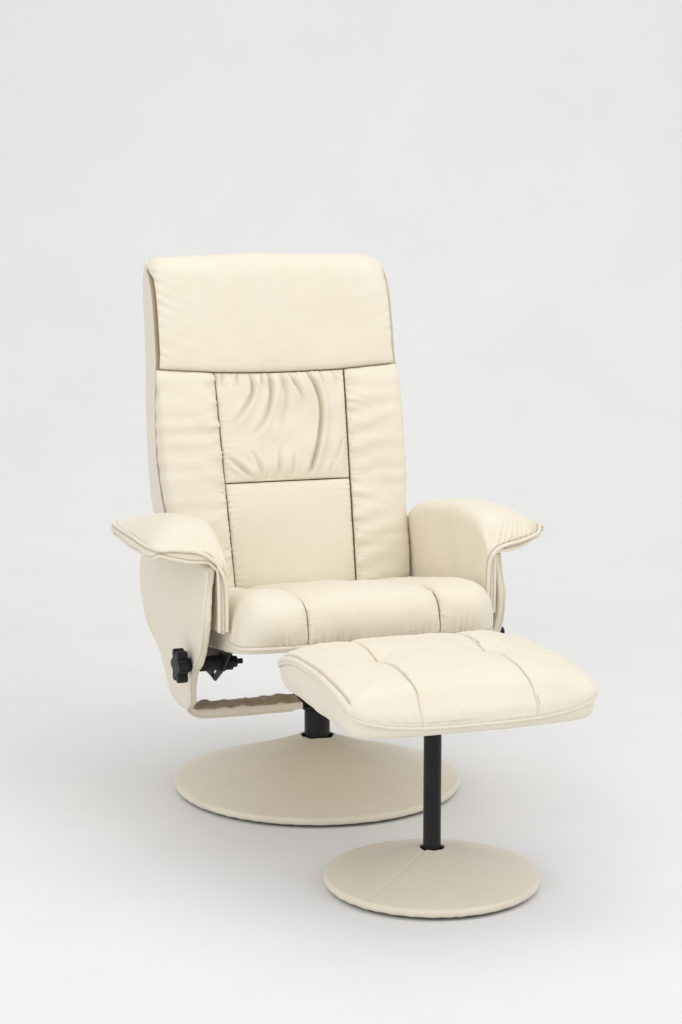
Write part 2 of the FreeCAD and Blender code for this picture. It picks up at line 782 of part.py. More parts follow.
def knob():
    """Star grip: a disc with round lobes on a hub, blind towards the outside."""
    disc_place = clamp_place + ACROSS * knob_disc_start
    shape = Part.makeCylinder(knob_radius - knob_lobe_radius, knob_thickness, disc_place, ACROSS)
    for step in range(knob_lobe_count):
        angle = 2 * math.pi * step / knob_lobe_count
        reach = knob_radius - knob_lobe_radius
        lobe_place = disc_place + point(0, reach * math.cos(angle), reach * math.sin(angle))
        shape = shape.fuse(Part.makeCylinder(knob_lobe_radius, knob_thickness, lobe_place, ACROSS))
    shape = shape.removeSplitter()
    rim = [edge for edge in shape.Edges if edge.BoundBox.XLength < seat_gap]
    shape = shape.makeFillet(knob_edge_round, rim)
    hub = Part.makeCylinder(knob_hub_radius, knob_hub_length + knob_edge_round,
                            clamp_place + ACROSS * knob_start, ACROSS)
    bore_length = knob_end - knob_cap_thickness - knob_start + cut_overrun
    bore = Part.makeCylinder(knob_insert_radius, bore_length,
                             clamp_place + ACROSS * (knob_start - cut_overrun), ACROSS)
    return shape.fuse(hub).cut(bore)


def knob_insert():
    return on_clamp(knob_insert_radius, knob_end - knob_cap_thickness - knob_start, knob_start)


# Seat

def seat_tipped(shape):
    """Move a piece from the seat's level drawing to its place in the chair."""
    shape.rotate(ORIGIN, ACROSS, -seat_slope)
    shape.translate(point(0, -seat_front, seat_bottom))
    return shape


def seat_place(depth, height):
    y, z = turned(depth, height, seat_slope)
    return point(0, y - seat_front, z + seat_bottom)


def bowed_edge(start, end, bow):
    """Edge that bows along Y between its ends, or a straight one where the bow is zero."""
    if bow == 0:
        return line(start, end)
    return arc(start, (start + end) * 0.5 + DEPTH * bow, end)


def bowed_plan(half_width, front, rear, bow_front, bow_rear, corner, low, high):
    """Upright prism on a rectangle with round corners and bowed front and rear edges."""
    def at(x, y):
        return point(x, y, low)

    slack = corner_slack(corner)
    edges = [
        bowed_edge(at(-half_width + corner, front), at(half_width - corner, front), -bow_front),
        arc(at(half_width - corner, front), at(half_width - slack, front + slack),
            at(half_width, front + corner)),
        line(at(half_width, front + corner), at(half_width, rear - corner)),
        arc(at(half_width, rear - corner), at(half_width - slack, rear - slack),
            at(half_width - corner, rear)),
        bowed_edge(at(half_width - corner, rear), at(-half_width + corner, rear), bow_rear),
        arc(at(-half_width + corner, rear), at(-half_width + slack, rear - slack),
            at(-half_width, rear - corner)),
        line(at(-half_width, rear - corner), at(-half_width, front + corner)),
        arc(at(-half_width, front + corner), at(-half_width + slack, front + slack),
            at(-half_width + corner, front)),
    ]
    return face(edges).extrude(UP * (high - low))


def across_prism(edges, half_width):
    return face(edges).extrude(ACROSS * (2 * half_width))


def seat_pan_level(clear=0.0):
    """Space of the covered tray: low at the front, arched up at the sides, plus a gap above it."""
    reach = seat_cushion_half_width + seat_corner_radius

    def at(y, z):
        return point(-reach, y, z)

    front = -seat_front_bow - cut_overrun
    run_share, rise_share = seat_arch_shares
    edges = [
        line(at(front, 0), at(seat_depth, 0)),
        line(at(seat_depth, 0), at(seat_depth, seat_side_height + clear)),
        line(at(seat_depth, seat_side_height + clear), at(seat_arch_run, seat_side_height + clear)),
        arc(at(seat_arch_run, seat_side_height + clear),
            at(blend(front, seat_arch_run, run_share),
               blend(seat_front_band, seat_side_height, rise_share) + clear),
            at(front, seat_front_band + clear)),
        line(at(front, seat_front_band + clear), at(front, 0)),
    ]
    return across_prism(edges, reach)


def seat_plan():
    return bowed_plan(seat_half_width, 0, seat_depth, seat_front_bow, 0, seat_corner_radius, 0, seat_crest)


def seat_board_level():
    margin = seat_board_margin
    return box(point(-seat_half_width + margin, margin, 0),
               point(seat_half_width - margin, seat_depth - margin, seat_board_thickness))


def channel_section(y, low, crest, half_width, span, depth, drop):
    """Upright section of a cushion with two channels: flat below, three crowns on top."""
    edge = max(crest - drop, blend(low, crest, channel_edge_share))
    groove = max(crest - depth, blend(low, crest, channel_floor_share))
    side = blend(low, edge, 0.5)
    rise = blend(edge, crest, channel_rise_share)
    swell = half_width * channel_swell_share

    def at(x, z):
        return point(x, y, z)

    edges = [line(at(-half_width, low), at(half_width, low)),
             arc(at(half_width, low), at(half_width + swell, side), at(half_width, edge))]
    tops = ((half_width, edge, span, groove, rise), (span, groove, -span, groove, crest),
            (-span, groove, -half_width, edge, rise))
    for start_x, start_z, end_x, end_z, high in tops:
        edges.append(arc(at(start_x, start_z), at(blend(start_x, end_x, 0.5), high), at(end_x, end_z)))
    edges.append(arc(at(-half_width, edge), at(-half_width - swell, side), at(-half_width, low)))
    return Part.Wire(edges)


def seat_cushion_level():
    wires = []
    shares = zip(seat_station_shares, seat_low_shares, seat_crest_shares, seat_width_shares)
    for station, low, crest, width in shares:
        y = station * (seat_nose if station < 0 else seat_depth)
        half_width = seat_cushion_half_width * width
        wires.append(channel_section(y, seat_crest * low, seat_crest * crest, half_width,
                                     seat_channel_half_span, seat_channel_depth, seat_edge_drop))
    return Part.makeLoft(wires, True, True).cut(seat_pan_level(seat_gap))


def rail_flange_ends():
    return seat_depth * rail_flange_front_share, seat_depth * rail_flange_rear_share


def rail_screws(growth=0.0):
    """Screws from below through the rail's flange into the seat board."""
    front, rear = rail_flange_ends()
    x = seat_half_width - seat_board_margin - rail_screw_head_radius
    places = [point(x, blend(front, rear, share), -rail_thickness) for share in rail_screw_shares]
    return [headed_pin(place, UP, rail_screw_radius + growth, rail_screw_length,
                       rail_screw_head_radius, rail_screw_head_height) for place in places]


def seat_rail():
    """Steel rail under one side of the seat: hinge eye at the rear, curved slot at the front."""
    front, rear = rail_flange_ends()
    slot_half_width = clamp_bolt_radius + slot_gap
    slot_end = clamp_from_seat(recline_angle)
    wall = slot_half_width + rail_slot_wall
    low_share, front_share = rail_slot_end_shares
    plate_points = [
        seat_place(front - rail_front_reach, 0),
        hinge_place + point(0, -bracket_foot_radius, bracket_foot_radius * rail_eye_share),
        hinge_place + point(0, 0, -bracket_foot_radius),
        seat_place(rear, -rail_drop),
        slot_end + point(0, wall, -wall * low_share),
        slot_end + point(0, -wall * front_share, -wall),
        clamp_place + point(0, -wall, -wall),
    ]
    plate = polygon(plate_points).extrude(ACROSS * rail_thickness)
    eye = Part.makeCylinder(bracket_foot_radius, rail_thickness, hinge_place, ACROSS)
    plate = plate.fuse(eye).removeSplitter()
    plate.translate(ACROSS * rail_inner)
    slot = slot_face(slot_half_width).extrude(ACROSS * (rail_inner + rail_thickness + cut_overrun))
    flange = seat_tipped(box(point(rail_inner - rail_flange_width, front, -rail_thickness),
                             point(rail_inner + rail_thickness, rear, 0)))
    pin_hole = Part.makeCylinder(hinge_pin_radius + running_gap, rail_inner + rail_thickness + cut_overrun,
                                 hinge_place, ACROSS)
    screw_holes = seat_tipped(Part.makeCompound(rail_screws(hole_gap)))
    return plate.fuse(flange).cut(slot).cut(pin_hole).cut(screw_holes)


# Back

def back_leaned(shape):
    """Move a piece from the back's upright drawing to its place in the chair."""
    shape.rotate(ORIGIN, ACROSS, -lean_angle)
    shape.translate(point(0, back_foot_y, back_foot_z))
    return shape


def shell_section(height, depth, half_width):
    front = back_shell_front
    rear = front + depth
    corner = min(back_shell_corner, depth * back_shell_corner_share)
    slack = corner_slack(corner)

    def at(x, y):
        return point(x, y, height)

    return Part.Wire([
        line(at(-half_width, front), at(half_width, front)),
        line(at(half_width, front), at(half_width, rear - corner)),
        arc(at(half_width, rear - corner), at(half_width - slack, rear - slack),
            at(half_width - corner, rear)),
        arc(at(half_width - corner, rear), at(0, rear + back_shell_bow), at(-half_width + corner, rear)),
        arc(at(-half_width + corner, rear), at(-half_width + slack, rear - slack),
            at(-half_width, rear - corner)),
        line(at(-half_width, rear - corner), at(-half_width, front)),
    ])


def back_board_upright():
    return box(point(-back_board_half_width, back_shell_front, 0),
               point(back_board_half_width, back_shell_front + back_board_thickness, back_board_top))


def back_shell():
    """Padded rear of the back, with a recess on each side for the hinge bracket."""
    wires = []
    shares = zip(back_shell_station_shares, back_shell_depth_shares, back_shell_width_shares)
    for station, depth, width in shares:
        height = blend(-back_low, back_height, station)
        wires.append(shell_section(height, back_shell_depth * depth, back_half_width * width))
    shell = Part.makeLoft(wires, True, False).cut(back_board_upright())
    pivot_height = turned(pivot_y - back_foot_y, pivot_z - back_foot_z, -lean_angle)[1]
    recess_top = pivot_height + bracket_tail + bracket_tail_half_width + back_recess_gap
    recess = box(point(bracket_inner, 0, -back_low - cut_overrun),
                 point(back_half_width + cut_overrun, back_recess_depth, recess_top))
    shell = back_leaned(shell.cut(both(recess)))
    clearance = Part.makeCylinder(pivot_bolt_head_radius, bracket_inner, pivot_place, ACROSS)
    pin_room = Part.makeCylinder(pivot_bolt_head_radius, bracket_inner, hinge_place, ACROSS)
    inside = box(point(0, -panel_rear, 0), point(back_board_half_width, 2 * panel_rear, 2 * panel_top))
    rooms = Part.makeCompound([clearance.cut(inside), pin_room.cut(inside)] + bracket_screws(hole_gap))
    return shell.cut(both(rooms))


def pad_section(height, left, right, left_edge, right_edge, crown):
    """Level section of a pad on the back: flat behind, crowned in front."""
    behind = back_shell_front - seat_gap

    def at(x, y):
        return point(x, y, height)

    return Part.Wire([
        line(at(left, behind), at(right, behind)),
        line(at(right, behind), at(right, right_edge)),
        arc(at(right, right_edge), at(blend(left, right, 0.5), -crown), at(left, left_edge)),
        line(at(left, left_edge), at(left, behind)),
    ])


def seam_half_span(height):
    share = min(max(height / back_head_seam, 0), 1)
    return back_half_width * blend(back_seam_low_share, back_seam_top_share, share)


def head_pad():
    wires = []
    shares = zip(head_station_shares, head_crown_shares, head_edge_shares, head_width_shares)
    for station, crown, edge, width in shares:
        height = blend(back_head_seam, back_height, station)
        half_width = back_cushion_half_width * width
        wires.append(pad_section(height, -half_width, half_width, back_seam_sink * edge,
                                 back_seam_sink * edge, back_head_crown * crown))
    return back_leaned(Part.makeLoft(wires, True, False))


def bolster():
    """Long pad beside the middle of the back, on the right."""
    wires = []
    for station, crown, width in zip(pad_station_shares, pad_crown_shares, pad_width_shares):
        height = blend(-back_low, back_head_seam - back_seam_gap, station)
        inner = seam_half_span(height) + back_seam_gap * 0.5
        outer = back_cushion_half_width * width
        wires.append(pad_section(height, inner, outer, back_seam_sink, back_outer_sink,
                                 back_bolster_crown * crown))
    return back_leaned(Part.makeLoft(wires, True, False))


def middle_pad(low, high, crown_height):
    """Pad between the bolsters, from one cross seam to the next."""
    wires = []
    for station, crown in zip(pad_station_shares, pad_crown_shares):
        height = blend(low, high, station)
        half_span = seam_half_span(height) - back_seam_gap * 0.5
        wires.append(pad_section(height, -half_span, half_span, back_seam_sink, back_seam_sink,
                                 crown_height * crown))
    return back_leaned(Part.makeLoft(wires, True, False))


# Footstool, drawn about its own post and moved to its place

stool_plate_low = stool_bottom - stool_plate_thickness


def at_stool(shape):
    shape.translate(DEPTH * stool_y)
    return shape


def stool_arch_prism(clear=0.0):
    """Space of the stool's covered tray: a band at front and rear, arched up between them."""
    reach = stool_cushion_half_width + stool_corner_radius
    end = stool_half_depth + stool_bow + cut_overrun

    def at(y, z):
        return point(-reach, y, stool_bottom + z)

    edges = [
        line(at(-end, 0), at(end, 0)),
        line(at(end, 0), at(end, stool_band + clear)),
        arc(at(end, stool_band + clear), at(0, stool_arch + clear), at(-end, stool_band + clear)),
        line(at(-end, stool_band + clear), at(-end, 0)),
    ]
    return across_prism(edges, reach)


def stool_board():
    half_width = stool_half_width - stool_board_margin
    half_depth = stool_half_depth - stool_board_margin
    board = box(point(-half_width, -half_depth, stool_bottom),
                point(half_width, half_depth, stool_bottom + stool_board_thickness))
    return board


def stool_pan():
    plan = bowed_plan(stool_half_width, -stool_half_depth, stool_half_depth, stool_bow, stool_bow,
                      stool_corner_radius, stool_bottom, stool_bottom + stool_arch)
    return plan.common(stool_arch_prism()).cut(stool_board())


def stool_cushion():
    wires = []
    half_depth = stool_half_depth + stool_nose
    shares = zip(stool_station_shares, stool_low_shares, stool_crest_shares, stool_width_shares,
                 stool_tuft_shares)
    for station, low, crest, width, tuft in shares:
        wires.append(channel_section(half_depth * station, stool_bottom + stool_crest * low,
                                     stool_bottom + stool_crest * crest, stool_cushion_half_width * width,
                                     stool_channel_half_span, stool_channel_depth * tuft, stool_edge_drop))
    return Part.makeLoft(wires, True, True).cut(stool_arch_prism(seat_gap))


def stool_screws(growth=0.0):
    reach = stool_plate_half_width - stool_screw_inset
    places = [point(sx * reach, sy * reach, stool_plate_low) for sx in (-1, 1) for sy in (-1, 1)]
    return [headed_pin(place, UP, stool_screw_radius + growth, stool_screw_length,
                       stool_screw_head_radius, stool_screw_head_height) for place in places]


def stool_plate():
    half = stool_plate_half_width
    plate = bowed_plan(half, -half, half, 0, 0, stool_plate_corner_radius, stool_plate_low, stool_bottom)
    return plate.cut(Part.makeCompound(stool_screws(hole_gap)))


# Saving

def save(name, shape):
    moved = shape.copy()
    moved.translate(DEPTH * set_shift)
    moved.exportStep("parts/" + name + ".step")


def save_pair(name, shape):
    save("right_" + name, shape)
    save("left_" + name, mirrored(shape))


def save_base():
    save("base_cover", base_cover(base_radius, base_cone_height, base_cone_sag, base_collar_radius))
    save("base_plate", base_plate(base_radius, flange_bolts(post_flange_radius, hole_gap)))
    save("base_glides", base_glides(base_radius, glide_count))
    save("base_post", flanged_post(post_radius, post_wall, post_top, post_flange_radius))
    save("base_flange_bolts", Part.makeCompound(flange_bolts(post_flange_radius)))
    save("swivel_bush", swivel_bush())
    save("thrust_washer", ring(thrust_washer_radius, spindle_radius + running_gap, thrust_washer_thickness,
                               UP * bearing_top))


def save_frame():
    save("swivel_spindle", swivel_spindle())
    ring_low = post_top - bush_length - seat_gap - retaining_ring_thickness
    save("retaining_ring", ring(retaining_ring_radius, spindle_radius + running_gap, retaining_ring_thickness,
                                UP * ring_low))
    save("swivel_plate", crossbar_plate(swivel_plate_half_width, swivel_plate_half_depth,
                                        swivel_plate_low, crossbar_low))
    save("crossbar", crossbar_plate(crossbar_half_length, crossbar_half_depth, crossbar_low, crossbar_high))
    save("clamp_plate", crossbar_plate(swivel_plate_half_width, swivel_plate_half_depth,
                                       crossbar_high, crossbar_high + clamp_plate_thickness))
    save("crossbar_bolts", Part.makeCompound(crossbar_bolts()))
    save_pair("side_frame", side_frame())
    save_pair("arm_pad", arm_pad())
    save("arm_bolts", both(Part.makeCompound(arm_bolts())))
    save("pivot_bolts", both(pivot_bolt()))
    save("pivot_sleeves", both(pivot_sleeve()))
    save("clamp_bolts", both(clamp_bolt()))
    save("friction_washers", both(friction_washers()))
    save("clamp_sleeves", both(clamp_sleeve()))
    save("clamp_blocks", both(on_clamp(clamp_block_radius, clamp_block_length, clamp_block_start)))
    save("lock_nuts", both(lock_nut()))
    save_pair("knob", knob())
    save_pair("knob_insert", knob_insert())


def save_back():
    save("back_shell", back_shell())
    save("back_board", back_leaned(back_board_upright()))
    save("head_pad", head_pad())
    save_pair("back_bolster", bolster())
    save("upper_back_pad", middle_pad(back_middle_seam + back_seam_gap, back_head_seam - back_seam_gap,
                                      back_upper_crown))
    save("lower_back_pad", middle_pad(-back_low, back_middle_seam, back_lower_crown))
    save_pair("back_bracket", back_bracket())
    save("bracket_screws", both(Part.makeCompound(bracket_screws())))


def save_seat():
    pan = seat_plan().common(seat_pan_level())
    screws = Part.makeCompound(rail_screws(hole_gap))
    board = seat_board_level()
    save("seat_pan", seat_tipped(pan.cut(board)))
    save("seat_board", seat_tipped(board.cut(both(screws))))
    save("seat_cushion", seat_tipped(seat_cushion_level()))
    save_pair("seat_rail", seat_rail())
    save("rail_screws", seat_tipped(both(Part.makeCompound(rail_screws()))))
    save("hinge_pins", both(hinge_pin()))


def save_stool():
    cover = base_cover(stool_base_radius, stool_cone_height, stool_cone_sag, stool_collar_radius)
    save("stool_base_cover", at_stool(cover))
    plate = base_plate(stool_base_radius, flange_bolts(stool_flange_radius, hole_gap))
    save("stool_base_plate", at_stool(plate))
    save("stool_glides", at_stool(base_glides(stool_base_radius, stool_glide_count)))
    post = flanged_post(stool_post_radius, stool_post_wall, stool_plate_low, stool_flange_radius)
    save("stool_post", at_stool(post))
    save("stool_flange_bolts", at_stool(Part.makeCompound(flange_bolts(stool_flange_radius))))
    save("stool_plate", at_stool(stool_plate()))
    save("stool_board", at_stool(stool_board().cut(Part.makeCompound(stool_screws(hole_gap)))))
    save("stool_screws", at_stool(Part.makeCompound(stool_screws())))
    save("stool_pan", at_stool(stool_pan()))
    save("stool_cushion", at_stool(stool_cushion()))


os.makedirs("parts", exist_ok=True)
save_base()
save_frame()
save_back()
save_seat()
save_stool()
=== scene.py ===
"""Looks of the swivel recliner with footstool, in metres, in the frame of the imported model.

Left and right are as seen from in front of the chair, so left is -X. Each soft
solid is replaced by a sewn, padded piece made from its form.
"""
import bpy
import bmesh
import json
import math
import numpy as np
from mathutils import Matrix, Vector
from mathutils.bvhtree import BVHTree


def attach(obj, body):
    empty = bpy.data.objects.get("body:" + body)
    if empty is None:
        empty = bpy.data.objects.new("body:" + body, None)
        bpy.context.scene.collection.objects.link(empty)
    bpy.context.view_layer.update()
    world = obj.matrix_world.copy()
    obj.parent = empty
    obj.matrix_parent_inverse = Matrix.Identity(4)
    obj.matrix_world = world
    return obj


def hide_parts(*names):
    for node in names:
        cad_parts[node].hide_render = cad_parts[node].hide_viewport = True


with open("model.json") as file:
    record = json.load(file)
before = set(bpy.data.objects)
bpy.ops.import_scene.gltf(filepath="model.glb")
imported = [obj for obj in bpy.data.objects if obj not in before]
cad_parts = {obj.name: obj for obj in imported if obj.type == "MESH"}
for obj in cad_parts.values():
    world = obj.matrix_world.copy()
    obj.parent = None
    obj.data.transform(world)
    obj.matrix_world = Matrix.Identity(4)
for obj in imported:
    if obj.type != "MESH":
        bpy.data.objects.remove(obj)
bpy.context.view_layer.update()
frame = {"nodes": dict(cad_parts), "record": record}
NODES = frame["nodes"]

# Places shared by several pieces
SHIFT = 0.2065
LEAN = math.radians(14.3)
SLOPE = math.radians(8.5)
BACK_FOOT = (0.131 + SHIFT, 0.385)
SEAT_FRONT = (-0.319967 + SHIFT, 0.348036)
STOOL_Y = -0.608 + SHIFT
STOOL_BOTTOM = 0.313

# Piping of the pads, of their lower seams and of the side frames
PIPING_RADIUS = 0.0034
LOWER_PIPING_RADIUS = 0.003
EDGE_PIPING_RADIUS = 0.0026


# Numbers along curves and over surfaces

def value_noise(s, seed):
    """Smooth noise along a line, from -1 to 1, with a new value at each whole number."""
    knots = np.random.RandomState(seed).uniform(-1, 1, 997)
    cell = np.floor(s).astype(int)
    t = s - cell
    t = t * t * (3 - 2 * t)
    return knots[cell % 997] * (1 - t) + knots[(cell + 1) % 997] * t


def lumps(co, size, seed):
    """Smooth unevenness over a surface, about -1 to 1, with bumps of about that size."""
    rng = np.random.RandomState(seed)
    total = np.zeros(len(co))
    for _ in range(7):
        way = rng.normal(size=3)
        way /= np.linalg.norm(way)
        total += np.sin(co @ way * (2 * np.pi / size) * rng.uniform(0.6, 1.4) + rng.uniform(0, 6.28))
    return total / 2.6


def ripple(s, seed, pitch):
    """Uneven wave along a seam, about one crest for each pitch."""
    warped = s / pitch + 0.45 * value_noise(s / pitch * 0.6 + 31, seed)
    strength = 0.3 + 0.7 * abs(value_noise(s / pitch * 0.45 + 7, seed + 1))
    return np.sin(2 * np.pi * warped) * strength


def gathers(s, d, seed, pitch, height, reach, lean=0.0):
    """Small folds that start at a seam and fade away from it."""
    own_reach = reach * (0.6 + 0.8 * abs(value_noise(s / pitch * 0.5 + 3, seed + 2)))
    return height * ripple(s + lean * d, seed, pitch) * np.exp(-abs(d) / own_reach)


def bell(d, width):
    """1 at no distance, and falling away smoothly within about that width."""
    return np.exp(-(d / width) ** 2)


def step(low, high, values):
    t = np.clip((values - low) / (high - low), 0, 1)
    return t * t * (3 - 2 * t)


def between(table, at):
    """Values between the pairs of a table, on straight lines."""
    return np.interp(at, *zip(*table))


def along(points, co):
    """Distance of each vertex to a line of points, and how far along the line its nearest place is."""
    points = np.asarray(points, float)
    best = np.full(len(co), 1e9)
    place = np.zeros(len(co))
    run = 0.0
    for a, b in zip(points[:-1], points[1:]):
        ab = b - a
        length = np.linalg.norm(ab)
        t = np.clip((co - a) @ ab / (length * length), 0, 1)
        d = np.linalg.norm(co - (a + t[:, None] * ab), axis=1)
        nearer = d < best
        best = np.where(nearer, d, best)
        place = np.where(nearer, run + t * length, place)
        run += length
    return best, place


def run_lengths(points):
    """How far along a line of points each of them lies."""
    return np.concatenate([[0], np.cumsum(np.linalg.norm(np.diff(points, axis=0), axis=1))])


def smooth_line(points, count):
    """Even points on a smooth line through the given ones."""
    p = np.asarray(points, float)
    ext = np.vstack([2 * p[0] - p[1], p, 2 * p[-1] - p[-2]])
    out = []
    for i in range(len(p) - 1):
        p0, p1, p2, p3 = ext[i:i + 4]
        for t in np.linspace(0, 1, 24, endpoint=False):
            out.append(0.5 * (2 * p1 + (p2 - p0) * t + (2 * p0 - 5 * p1 + 4 * p2 - p3) * t * t
                              + (3 * p1 - p0 - 3 * p2 + p3) * t ** 3))
    out.append(p[-1])
    out = np.array(out)
    run = run_lengths(out)
    even = np.linspace(0, run[-1], count)
    return np.stack([np.interp(even, run, out[:, k]) for k in range(3)], axis=1)


def three_point_circle(a, b, c):
    """Centre and radius of the circle through three places in a plane."""
    (ax, ay), (bx, by), (cx, cy) = a, b, c
    d = 2 * (ax * (by - cy) + bx * (cy - ay) + cx * (ay - by))
    aa, bb, cc = (px * px + py * py for px, py in (a, b, c))
    ux = (aa * (by - cy) + bb * (cy - ay) + cc * (ay - by)) / d
    uy = (aa * (cx - bx) + bb * (ax - cx) + cc * (bx - ax)) / d
    return ux, uy, math.hypot(ax - ux, ay - uy)


# Frames of the leaning back and the tipped seat

def local(co, origin, angle):
    """Across, to the rear and up, in a frame that is tipped to the rear."""
    y = co[:, 1] - origin[0]
    z = co[:, 2] - origin[1]
    return co[:, 0], y * math.cos(angle) - z * math.sin(angle), y * math.sin(angle) + z * math.cos(angle)


def place(x, rear, up, origin, angle):
    return (x, origin[0] + rear * math.cos(angle) + up * math.sin(angle),
            origin[1] - rear * math.sin(angle) + up * math.cos(angle))


def back_local(co):
    """Across, up along the back, and depth to the rear."""
    x, depth, up = local(co, BACK_FOOT, LEAN)
    return x, up, depth


def back_place(x, up, depth):
    return place(x, depth, up, BACK_FOOT, LEAN)


def seat_local(co):
    """Across, depth from the front edge, and height over the pan's underside."""
    return local(co, SEAT_FRONT, SLOPE)


def seat_place(x, depth, height):
    return place(x, depth, height, SEAT_FRONT, SLOPE)


# Meshes

def vertices(ob):
    co = np.empty(len(ob.data.vertices) * 3)
    ob.data.vertices.foreach_get("co", co)
    return co.reshape(-1, 3)


def set_vertices(ob, co):
    ob.data.vertices.foreach_set("co", np.ascontiguousarray(co).ravel())
    ob.data.update()


def vertex_normals(ob):
    no = np.empty(len(ob.data.vertices) * 3)
    ob.data.vertices.foreach_get("normal", no)
    return no.reshape(-1, 3)


def add_object(name, data):
    ob = bpy.data.objects.new(name, data)
    bpy.context.scene.collection.objects.link(ob)
    return ob


def evaluated_mesh(ob):
    graph = bpy.context.evaluated_depsgraph_get()
    return bpy.data.meshes.new_from_object(ob.evaluated_get(graph))


def bake(ob):
    """Apply what the modifiers do, and clear them."""
    data = evaluated_mesh(ob)
    ob.modifiers.clear()
    ob.data = data


def evened(ob, co, passes, share=0.5):
    """Values at the vertices, moved towards the mean of their neighbours."""
    edges = np.empty(len(ob.data.edges) * 2, int)
    ob.data.edges.foreach_get("vertices", edges)
    a, b = edges.reshape(-1, 2).T
    count = np.bincount(a, minlength=len(co)) + np.bincount(b, minlength=len(co))
    count = np.maximum(count, 1)
    for _ in range(passes):
        mean = np.stack([np.bincount(a, co[b, k], len(co)) + np.bincount(b, co[a, k], len(co))
                         for k in range(3)], axis=1) / count[:, None]
        co = co + (mean - co) * share
    return co


def relax(ob, passes, share=0.5):
    """Move each vertex towards the middle of its neighbours, which rounds the edges."""
    set_vertices(ob, evened(ob, vertices(ob), passes, share))


def round_edges(ob, rounds):
    """Smooth the surface without shrinking it."""
    for _ in range(rounds):
        relax(ob, 1, 0.55)
        relax(ob, 1, -0.56)
    relax(ob, 1, 0.4)


def soft_copy(node, name, voxel, passes):
    """The form of a CAD solid as an even mesh with rounded edges."""
    ob = add_object(name, NODES[node].data.copy())
    ob.data.materials.clear()
    remesh = ob.modifiers.new("even", "REMESH")
    remesh.mode = "VOXEL"
    remesh.voxel_size = voxel
    bake(ob)
    relax(ob, passes)
    return ob


def subdivide(ob):
    ob.modifiers.new("fine", "SUBSURF").levels = 1
    bake(ob)


def displace(ob, amounts):
    set_vertices(ob, vertices(ob) + vertex_normals(ob) * amounts[:, None])


def shade_smooth(ob):
    ob.data.polygons.foreach_set("use_smooth", np.ones(len(ob.data.polygons), bool))
    ob.data.update()


CLOTH = dict(quality=5, mass=0.3, tension_stiffness=15, compression_stiffness=15, bending_stiffness=0.5,
             use_pressure=True, uniform_pressure_force=4, vertex_group_mass="sewn")
SWELL_FRAMES = 20
MOST_SWELL = 0.006
SWELL_PASSES = 30


def swell(pads):
    """Blow up the pads against their sewn places, all in one run, and cap how far a point moves."""
    scene = bpy.context.scene
    before = []
    for ob, held in pads:
        group = ob.vertex_groups.new(name="sewn")
        group.add(np.nonzero(held)[0].tolist(), 1.0, "REPLACE")
        cloth = ob.modifiers.new("swell", "CLOTH")
        for key, value in CLOTH.items():
            setattr(cloth.settings, key, value)
        cloth.settings.effector_weights.gravity = 0
        cloth.collision_settings.use_collision = False
        cloth.point_cache.frame_start = 1
        cloth.point_cache.frame_end = SWELL_FRAMES
        before.append(vertices(ob))
    for f in range(1, SWELL_FRAMES + 1):
        scene.frame_set(f)
    for (ob, _), start in zip(pads, before):
        bake(ob)
        move = vertices(ob) - start
        length = np.maximum(np.linalg.norm(move, axis=1), 1e-9)
        move *= np.minimum(1, MOST_SWELL / length)[:, None]
        set_vertices(ob, start + evened(ob, move, SWELL_PASSES))
        ob.vertex_groups.clear()
    scene.frame_set(1)


def seated(line, target, lift=0.0):
    """The line moved onto the nearest places of a piece."""
    faces = [face.vertices[:] for face in target.data.polygons]
    tree = BVHTree.FromPolygons([v.co for v in target.data.vertices], faces)
    moved = []
    for p in line:
        near, normal, _, _ = tree.find_nearest(Vector(p))
        moved.append(near + normal * lift)
    line = np.array(moved)
    for _ in range(3):
        line[1:-1] = (line[:-2] + 2 * line[1:-1] + line[2:]) / 4
    return line


def dress(ob, body, material):
    """Leather on a piece, and the body that it rides on."""
    shade_smooth(ob)
    ob.data.materials.clear()
    ob.data.materials.append(material)
    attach(ob, body)


def welt(name, points, radius, body, count, target=None, lift=0.0):
    """Piping: a thin covered cord sewn along a line."""
    line = smooth_line(points, count)
    if target is not None:
        line = seated(line, target, lift)
    curve = bpy.data.curves.new(name, "CURVE")
    curve.dimensions = "3D"
    curve.bevel_depth = radius
    curve.bevel_resolution = 3
    curve.use_fill_caps = True
    spline = curve.splines.new("POLY")
    spline.points.add(len(line) - 1)
    for p, q in zip(spline.points, line):
        p.co = (q[0], q[1], q[2], 1)
    ob = add_object(name, curve)
    data = evaluated_mesh(ob)
    bpy.data.objects.remove(ob)
    dress(add_object(name, data), body, cream)


# Painted shade on the walls and slits inside the pieces
INSIDE_SHADE = 0.6


def shade_seams(ob, values):
    """Painted shade: how deep in a seam, fold or shadow each point lies, where the leather colour is
    darkened. Points past the list are inside.
    """
    full = np.full(len(ob.data.vertices), INSIDE_SHADE)
    full[:values.size] = np.clip(values, 0, 1).ravel()
    ob.data.attributes.new("seam_shade", "FLOAT", "POINT").data.foreach_set("value", full)


def finish_pad(ob, node, body, material):
    """A soft piece in the place of a CAD solid, which is hidden."""
    dress(ob, body, material)
    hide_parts(node)


# Materials

